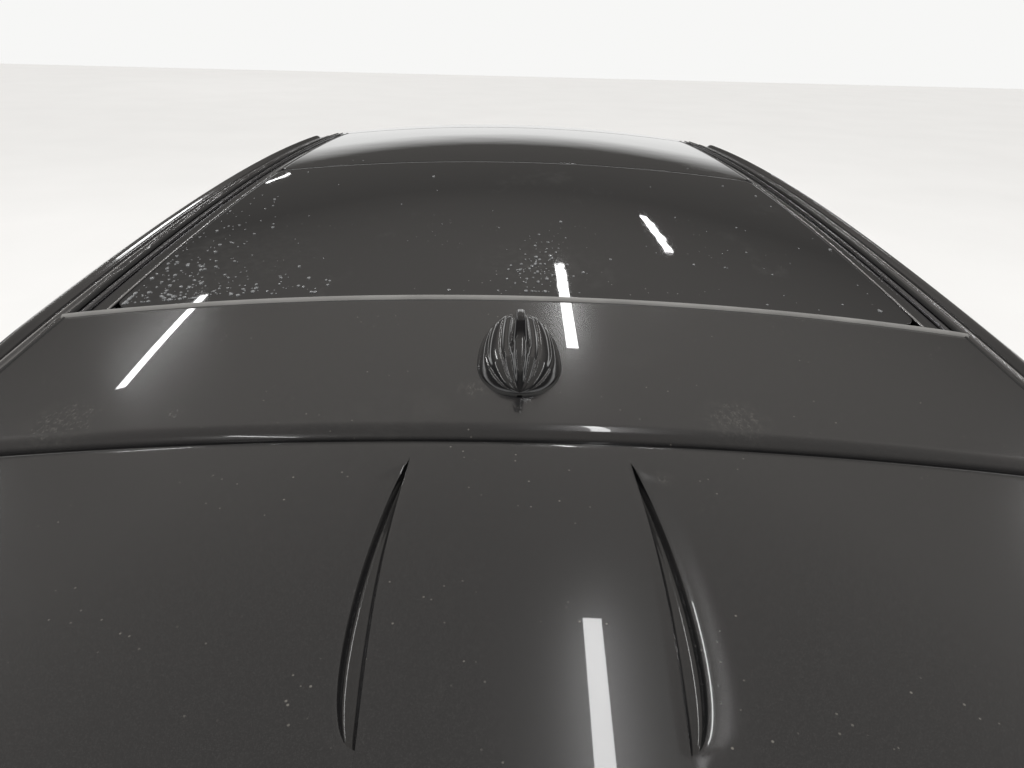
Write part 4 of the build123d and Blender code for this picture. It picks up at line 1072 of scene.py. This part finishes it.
def makeSides():
    for end, window, *_ in doors:
        bothSides(lambda: ribbon(window, 0.014, sideAt, 0.0015, True), f"{end}WindowSeal",
                  end + "_door_{}", sealRubber, 50)
    bothSides(lambda: ribbon(quarterWindow, 0.016, sideAt, 0.0015, True), "quarterSeal", "body",
              sealRubber, 50)
    for end, _, belt, swage, guard in doors:
        body = end + "_door_{}"
        bothSides(lambda: ribbon([(y, beltHeight) for y in belt], 0.015, sideAt, 0.0045), f"{end}BeltTrim",
                  body, darkChrome, 50)
        bothSides(lambda: ribbon([(y, swageHeight) for y in swage], 0.012, sideAt, 0.0022, arch=1.4),
                  f"{end}DoorSwage", body, blackPaint, 60)
        bothSides(lambda: patch(24, 5, between(*zip(guard, guardHeights)), sideAt, 0.0065, 0.008, 0.003),
                  f"{end}DoorGuard", body, mouldedBlack, 50)
    for name, foot, top, tall, body in pillars:
        def flat(u, v):
            start, stop = (low + (high - low) * v for low, high in zip(foot, top))
            return (start + (stop - start) * u, pillarFoot + tall * v)
        columns = 4 if foot == top else 5
        bothSides(lambda: patch(columns, 18, flat, sideAt, 0.0022), name, body, pianoBlack, 50)
    for end, front, height in handles:
        def handlePlace(u, v):
            form = handleForm
            ends = smoothStep(min(v, 1 - v), 0, 0.12)
            a, b = around(u, 1)
            tall = form["half"] * squared(b, 0.7) * (0.6 + 0.4 * ends)
            out = (form["out"] + form["round"] * a) * (0.35 + 0.65 * ends)
            return sideAt(front + form["before"] + form["long"] * v, height + tall, out)
        bothSides(lambda: tube(20, 40, handlePlace), f"{end}HandleCover", end + "_door_{}",
                  blackPaint, 50)
    ring = []
    for k in range(fuelFlap["points"]):
        a, b = around(k / fuelFlap["points"], 1)
        ring.append((fuelFlap["y"] + fuelFlap["long"] * squared(a, 0.35),
                     fuelFlap["z"] + fuelFlap["tall"] * squared(b, 0.35)))
    line = ribbon(ring, 0.0040, sideAt, 0.0005, True, step=0.02)
    line.data.transform(flipped)
    line.data.flip_normals()
    settle(line, "fuelFlapLine", "body", sealRubber, 50)

    def mirrorPlace(u, v):
        y = mirror["y"] + mirror["bow"] * (u - 0.5) ** 2
        return (mirror["x"] + mirror["wide"] * u, y, mirror["z"] + mirror["tall"] * v)
    bothSides(lambda: surface(14, 10, mirrorPlace, -0.003, 0.001), "mirrorGlass", "front_door_{}",
              mirrorGlass, 50)

    def flashPlace(u, v):
        y = flash["y"] + flash["bow"] * u ** 3
        return (flash["x"] + flash["wide"] * u, y, flash["z"] + flash["tall"] * v)
    bothSides(lambda: surface(20, 3, flashPlace, -0.003, 0.001), "mirrorIndicator", "front_door_{}",
              lampAmber, 50)

    def archClips():
        parts = []
        for centre in (wheel["front"], wheel["rear"]):
            for degrees in range(archClip["step"], 161, archClip["step"]):
                a, b = around(degrees / 360, archClip["circle"])
                y, z = centre + a, wheel["z"] + b
                if abs(y - sideBow["middle"]) < 1.9:
                    clip = [(y - archClip["half"], z), (y + archClip["half"], z)]
                    parts.append(ribbon(clip, 0.008, sideAt, 0.0115, step=0.01))
        return joined(parts)
    bothSides(archClips, "archClips", "body", mouldedBlack, 60)


makeSides()
print("sides made")

# Bonnet and screen: crease lines, jets, wipers and the sensor patch
creaseEnds = ((0.36, -1.24), (0.58, -2.16))
washer = {"at": (0.30, -1.262), "half": 0.014, "deep": 0.007, "sink": 0.004}
screenWipers = (("wiperDriver", (-0.52, -1.165), (0.06, -1.105)),
                ("wiperPassenger", (0.10, -1.165), (0.60, -1.100)))
sensorArea = ((-0.055, -0.505), (0.055, -0.425))


def makeScreen():
    def crease():
        return ribbon(spread(*creaseEnds, 12), 0.040, topAt, 0.0022, arch=2.0)
    bothSides(crease, "bonnetCrease", "bonnet", blackPaint, 60)

    def jets():
        x, y, z = topAt(*washer["at"])
        half, deep = washer["half"], washer["deep"]
        return block((x - half, y - deep, z - washer["sink"]), (x + half, y + deep, z + deep), 0.003)
    bothSides(jets, "washerJet", "bonnet", mouldedBlack, 50)
    for name, pivot, tip in screenWipers:
        middle = tuple(pivot[k] + (tip[k] - pivot[k]) * 0.55 for k in range(2))
        arm = ribbon([pivot, middle], 0.014, topAt, 0.020, thick=0.007)
        bladeLine = [(pivot[0] + 0.06, pivot[1] + 0.012), (tip[0], tip[1] + 0.012)]
        blade = ribbon(bladeLine, 0.010, topAt, 0.011, thick=0.007)
        settle(joined([arm, blade]), name, "body", mouldedBlack, 50)
    sensor = patch(10, 5, between(*sensorArea), topAt, 0.0012, 0.001, 0)
    settle(sensor, "screenSensorPatch", "body", sealRubber, 50)


makeScreen()
print("screen made")


# Seats: soft pads puffed up by pressure, with seams and hard backs
seat = {"x": 0.370, "lean": 0.322, "low": 0.560, "voxel": 0.0148, "reach": 0.024, "fill": 0.6,
        "inset": 0.010, "round": 0.022, "pressure": 4.0, "frames": 20,
        "shell": ((-0.215, 0, 0), (0.215, 0.022, 0.50)), "shellAt": (0, -0.058, 0.580),
        "base": ((-0.225, -0.62, 0.420), (0.225, -0.14, 0.472))}
post = {"x": 0.06, "y": 0.088, "foot": 1.085, "step": 0.015, "radius": 0.006}
welt = {"x": 0.160, "front": -0.60, "long": 0.42, "steps": 12, "z": 0.602, "dip": 0.004, "radius": 0.0028}
bench = {"spots": (-0.413, 0.0, 0.413), "lean": 0.235, "back": 1.078, "foot": 0.620,
         "base": ((-0.615, 0.560, 0.440), (0.615, 1.010, 0.486)),
         "shell": ((-0.610, 0.0, 0.620), (0.610, 0.018, 1.110))}


def puffed(piece):
    modify(piece, "REMESH", mode="VOXEL", voxel_size=seat["voxel"])
    hold(piece)
    before = [vertex.co.copy() for vertex in piece.data.vertices]
    cloth = piece.modifiers.new("puff", "CLOTH")
    cloth.settings.use_pressure = True
    cloth.settings.uniform_pressure_force = seat["pressure"]
    cloth.settings.effector_weights.gravity = 0
    cloth.settings.quality = 3
    cloth.collision_settings.use_collision = False
    for step in range(1, seat["frames"] + 1):
        bpy.context.scene.frame_set(step)
    hold(piece)
    bpy.ops.object.modifier_apply(modifier=cloth.name)
    bpy.context.scene.frame_set(1)
    for vertex, start in zip(piece.data.vertices, before):
        moved = vertex.co - start
        if moved.length > seat["reach"]:
            vertex.co = start + moved * (seat["reach"] / moved.length)
    return piece


def leaned(piece, foot, lean, back=0.0):
    for vertex in piece.data.vertices:
        vertex.co.y += back + (vertex.co.z - foot) * lean
    return piece


def softPad(low, high, lean):
    piece = block([a + seat["inset"] for a in low], [b - seat["inset"] for b in high], seat["round"], 3)
    return puffed(leaned(piece, low[2], lean))


def seam(points):
    rings = len(points) - 1

    def place(u, v):
        k = round(v * rings)
        here, ahead = Vector(points[k]), Vector(points[min(k + 1, rings)]) - Vector(points[max(k - 1, 0)])
        side = ahead.cross(Vector((0, 0, 1) if abs(ahead.z) < 0.8 * ahead.length else (1, 0, 0))).normalized()
        up = side.cross(ahead).normalized()
        a, b = around(u, welt["radius"])
        return here + side * a + up * b
    return tube(8, rings, place)


# Pads of one front seat about its own middle, and of one bench place: low corner, high corner and lean
seatPads = {"cushion": ((-0.165, -0.635, 0.465), (0.165, -0.150, 0.600), 0),
            "cushionSide": ((0.155, -0.625, 0.462), (0.245, -0.150, 0.604), 0),
            "back": ((-0.160, -0.158, seat["low"]), (0.160, -0.060, 1.120), seat["lean"]),
            "backSide": ((0.150, -0.166, seat["low"] + 0.03), (0.238, -0.062, 1.080), seat["lean"]),
            "head": ((-0.128, 0.052, 1.128), (0.128, 0.148, 1.298), 0)}
benchPads = {"benchCushion": ((-0.205, 0.550, 0.478), (0.205, 1.000, 0.612), 0),
             "benchBack": ((-0.205, 0.975, 0.610), (0.205, 1.080, 1.130), bench["lean"]),
             "benchHead": ((-0.123, 1.128, 1.142), (0.123, 1.212, 1.288), 0)}


def shifted(corner, along):
    return (corner[0] + along, *corner[1:])


def makeSeats():
    shapes = {kind: softPad(*form) for kind, form in seatPads.items()}
    for side, sign in sides.items():
        at = Matrix.Translation((sign * seat["x"], 0, 0))
        for number, (kind, shape) in enumerate(shapes.items()):
            twins = ((1, "Left"), (-1, "Right")) if kind.endswith("Side") else ((1, ""),)
            for hand, word in twins:
                pad = copied(shape, at if hand > 0 else at @ flipped)
                settle(pad, f"seat{kind.capitalize()}{word}_{side}", "body", blackLeather, 180,
                       ("front_seats",) if number == 0 and side == "left" else ())
        middle = sign * seat["x"]
        shell = block(*(shifted(corner, middle) for corner in seat["shell"]), 0.010)
        shell.data.transform(Matrix.Translation(seat["shellAt"]))
        settle(leaned(shell, seat["low"], seat["lean"]), f"seatBackShell_{side}", "body", mouldedBlack)
        base = block(*(shifted(corner, middle) for corner in seat["base"]), 0.008)
        settle(base, f"seatBase_{side}", "body", mouldedBlack)
        posts = []
        for x in (middle - post["x"], middle + post["x"]):
            rings = [(post["foot"] + post["step"] * k, post["radius"]) for k in range(5)]
            posts.append(turned(12, rings, lambda z, a, b: (x + a, post["y"] + b, z), True))
        settle(joined(posts), f"headrestPosts_{side}", "body", brightTrim, 50)
        for number, x in enumerate((middle - welt["x"], middle + welt["x"])):
            line = [(x, welt["front"] + welt["long"] * k / welt["steps"], welt["z"])
                    for k in range(welt["steps"] + 1)]
            line[0] = (x, welt["front"], welt["z"] - welt["dip"])
            settle(seam(line), f"seatWelt_{side}_{number + 1}", "body", liningGrey, 60)
    for shape in shapes.values():
        bpy.data.objects.remove(shape)


def makeBench():
    shapes = {kind: softPad(*form) for kind, form in benchPads.items()}
    for kind, shape in shapes.items():
        for number, x in enumerate(bench["spots"]):
            pad = copied(shape, Matrix.Translation((x, 0, 0)))
            settle(pad, f"{kind}_{number + 1}", "body", blackLeather, 180,
                   ("rear_bench",) if kind == "benchCushion" and number == 0 else ())
        bpy.data.objects.remove(shape)
    settle(block(*bench["base"], 0.008), "benchBase", "body", mouldedBlack)
    shell = block(*bench["shell"], 0.006)
    settle(leaned(shell, bench["foot"], bench["lean"], bench["back"]), "benchBackShell", "body", liningGrey)


makeSeats()
makeBench()
print("seats made")

# Dashboard dressing and the steering wheel
helm = {"centre": (-0.370, -0.668, 0.880), "lean": math.radians(-68), "ring": 0.172, "grip": 0.0155,
        "oval": (1.12, 0.86),
        "hub": ((-0.028, 0.052), (-0.004, 0.066), (0.010, 0.064), (0.020, 0.050), (0.024, 0.0004)),
        "postRings": (0.034, 0.036, 0.040, 0.042), "postTop": -0.020, "postLong": 0.055,
        "spokes": (((0.055, -0.017, -0.010), (0.165, 0.017, 0.006)),
                   ((-0.165, -0.017, -0.010), (-0.055, 0.017, 0.006)),
                   ((-0.020, 0.045, -0.012), (0.020, 0.165, 0.004)))}


def makeHelm():
    hold()
    bpy.ops.mesh.primitive_torus_add(major_radius=helm["ring"], minor_radius=helm["grip"], major_segments=80,
                                     minor_segments=18, location=(0, 0, 0))
    ring = bpy.context.object
    wide, tall = helm["oval"]
    hub = turned(48, helm["hub"], lambda out, a, b: (wide * a, tall * b, out), True)
    spokes = [block(low, high, 0.005) for low, high in helm["spokes"]]
    rings = [(helm["postTop"] - helm["postLong"] * k / 3, size) for k, size in enumerate(helm["postRings"])]
    post = turned(32, rings, lambda out, a, b: (a, b, out), True)
    at = Matrix.Translation(helm["centre"]) @ Matrix.Rotation(helm["lean"], 4, "X")
    for piece in (ring, hub, *spokes, post):
        piece.data.transform(at)
    settle(ring, "steeringRing", "steering_wheel", blackLeather, 60, ("steering_wheel",))
    settle(joined([hub, post]), "steeringHub", "steering_wheel", softBlack, 40)
    settle(joined(spokes), "steeringSpokes", "steering_wheel", darkChrome, 40)


# Boxes of the dash: low corner, high corner, rounding of the edges and finish
dashBoxes = (("dashScreen", (-0.135, -0.826, 0.792), (0.135, -0.806, 0.955), 0.005, pianoBlack),
             ("instrumentCluster", (-0.500, -0.850, 0.880), (-0.240, -0.812, 0.972), 0.008, pianoBlack))
lowerBoxes = (("dashBand", (0.215, -0.827, 0.790), (0.690, -0.813, 0.826), 0.003, alloyGrey),
              ("gloveBoxLid", (0.225, -0.828, 0.715), (0.650, -0.812, 0.782), 0.006, softBlack),
              ("consoleTop", (-0.100, -0.780, 0.636), (0.100, -0.330, 0.650), 0.004, pianoBlack))
airVents = ((-0.680, -0.560, 0.86, 0.93), (-0.205, -0.150, 0.82, 0.93), (0.150, 0.205, 0.82, 0.93),
            (0.560, 0.680, 0.86, 0.93))
slats = 5
hood = {"x": -0.535, "wide": 0.330, "y": -0.960, "long": 0.165, "z": 0.968, "rise": 0.030, "fall": 0.004}
cabinMirror = {"half": 0.115, "y": -0.498, "bow": 0.006, "z": 1.405, "tall": 0.062}
gear = {"y": -0.600, "z": 0.648, "oval": 1.3}
leverRings = ((0.0, 0.024), (0.012, 0.020), (0.030, 0.011), (0.052, 0.013), (0.070, 0.021), (0.084, 0.020),
              (0.092, 0.0004))


def makeDash():
    for name, low, high, bevel, finish in dashBoxes:
        settle(block(low, high, bevel), name, "body", finish)

    def hoodPlace(u, v):
        z = hood["z"] + hood["rise"] * math.sin(math.pi * u) ** 0.5 - hood["fall"] * v
        return (hood["x"] + hood["wide"] * u, hood["y"] + hood["long"] * v, z)
    settle(surface(36, 12, hoodPlace, 0.008, 0.002), "instrumentHood", "body", softBlack, 40)
    for number, (left, right, low, high) in enumerate(airVents):
        parts = []
        for k in range(slats):
            z = low + (high - low) * k / slats
            parts.append(block((left, -0.824, z + 0.003), (right, -0.810, z + 0.006), 0.001))
        parts.append(block((left - 0.004, -0.826, low - 0.004), (right + 0.004, -0.817, high + 0.004), 0.003))
        settle(joined(parts), f"airVent_{number + 1}", "body", mouldedBlack)
    for name, low, high, bevel, finish in lowerBoxes:
        settle(block(low, high, bevel), name, "body", finish)
    rest = block((-0.098, -0.290, 0.632), (0.098, 0.070, 0.678), 0.014, 3)
    settle(rest, "armRest", "body", blackLeather, 40)
    lever = turned(32, leverRings, lambda rise, a, b: (
        a, gear["y"] + gear["oval"] * b, gear["z"] + rise), True)
    settle(lever, "gearSelector", "body", softBlack, 50)

    def glassPlace(u, v):
        x = (2 * u - 1) * cabinMirror["half"]
        y = cabinMirror["y"] + cabinMirror["bow"] * math.cos(math.pi * (u - 0.5))
        return (x, y, cabinMirror["z"] + cabinMirror["tall"] * v)
    settle(surface(20, 6, glassPlace, 0.012, 0.003), "cabinMirror", "body", pianoBlack)


makeHelm()
makeDash()
print("dash and helm made")


# Studio: pale floor and walls, a darker ceiling, and long soft tubes overhead
studio = {"wall": (0.93, 0.93, 0.92), "low": (0.095, 0.091, 0.086), "high": (0.42, 0.40, 0.375),
          "floor": (0.80, 0.80, 0.795), "wallTop": (0.05, 0.11), "rise": (0.25, 0.62), "height": 5.1,
          "tube": (0.13, 2.55), "tubeStrength": 12, "strip": (0.30, 8.0), "stripAt": (5.8, 0.8),
          "stripStrength": 9, "fill": 2.35, "fillSpread": 150}
tubes = ((4.41, -5.36), (-0.70, -5.28), (-2.53, -9.15), (-0.60, 0.68), (8.0, -22.0), (2.2, 5.5))


def makeStudio():
    bpy.ops.mesh.primitive_plane_add(size=60, location=(0, 0, 0))
    floor = bpy.context.object
    floor.name = "studioFloor"
    ground = Paint("studioGround", studio["floor"], 0.7)
    ground.set("Base Color", ground.mix(ground.noise(0.8, 4).ramp(0.3, 0.7), studio["floor"],
                                        [c * 0.97 for c in studio["floor"]]))
    floor.data.materials.append(ground.material)
    world = bpy.data.worlds.new("studioWorld")
    world.use_nodes = True
    bpy.context.scene.world = world
    tree = world.node_tree
    where = tree.nodes.new("ShaderNodeTexCoord")
    parts = tree.nodes.new("ShaderNodeSeparateXYZ")
    tree.links.new(where.outputs["Generated"], parts.inputs[0])

    def fade(limits, low, high):
        rise = tree.nodes.new("ShaderNodeMapRange")
        rise.inputs["From Min"].default_value, rise.inputs["From Max"].default_value = limits
        tree.links.new(parts.outputs[2], rise.inputs["Value"])
        shade = tree.nodes.new("ShaderNodeMix")
        shade.data_type = "RGBA"
        tree.links.new(rise.outputs[0], shade.inputs[0])
        for socket, value in ((shade.inputs[6], low), (shade.inputs[7], high)):
            if isinstance(value, bpy.types.NodeSocket):
                tree.links.new(value, socket)
            else:
                socket.default_value = (*value, 1)
        return shade.outputs[2]
    seen = fade(studio["wallTop"], studio["wall"], fade(studio["rise"], studio["low"], studio["high"]))
    backdrop = tree.nodes.new("ShaderNodeMix")
    backdrop.data_type = "RGBA"
    tree.links.new(tree.nodes.new("ShaderNodeLightPath").outputs["Is Camera Ray"], backdrop.inputs[0])
    tree.links.new(seen, backdrop.inputs[6])
    backdrop.inputs[7].default_value = (*studio["wall"], 1)
    tree.links.new(backdrop.outputs[2], tree.nodes["Background"].inputs["Color"])


def addPanel(place, size, strength):
    data = bpy.data.lights.new("studioPanel", "AREA")
    data.shape = "RECTANGLE"
    data.size, data.size_y = size
    data.energy = strength * math.pi * size[0] * size[1]
    lamp = bpy.data.objects.new("studioPanel", data)
    lamp.location = place
    bpy.context.scene.collection.objects.link(lamp)


def addFill():
    data = bpy.data.lights.new("softFill", "SUN")
    data.energy = studio["fill"]
    data.angle = math.radians(studio["fillSpread"])
    lamp = bpy.data.objects.new("softFill", data)
    lamp.visible_glossy = False
    bpy.context.scene.collection.objects.link(lamp)


makeStudio()
for sign in sides.values():
    x, y = studio["stripAt"]
    addPanel((sign * x, y, studio["height"]), studio["strip"], studio["stripStrength"])
bpy.context.scene.view_settings.view_transform = "Standard"
for x, y in tubes:
    addPanel((x, y, studio["height"]), studio["tube"], studio["tubeStrength"])
addFill()
print("studio made")
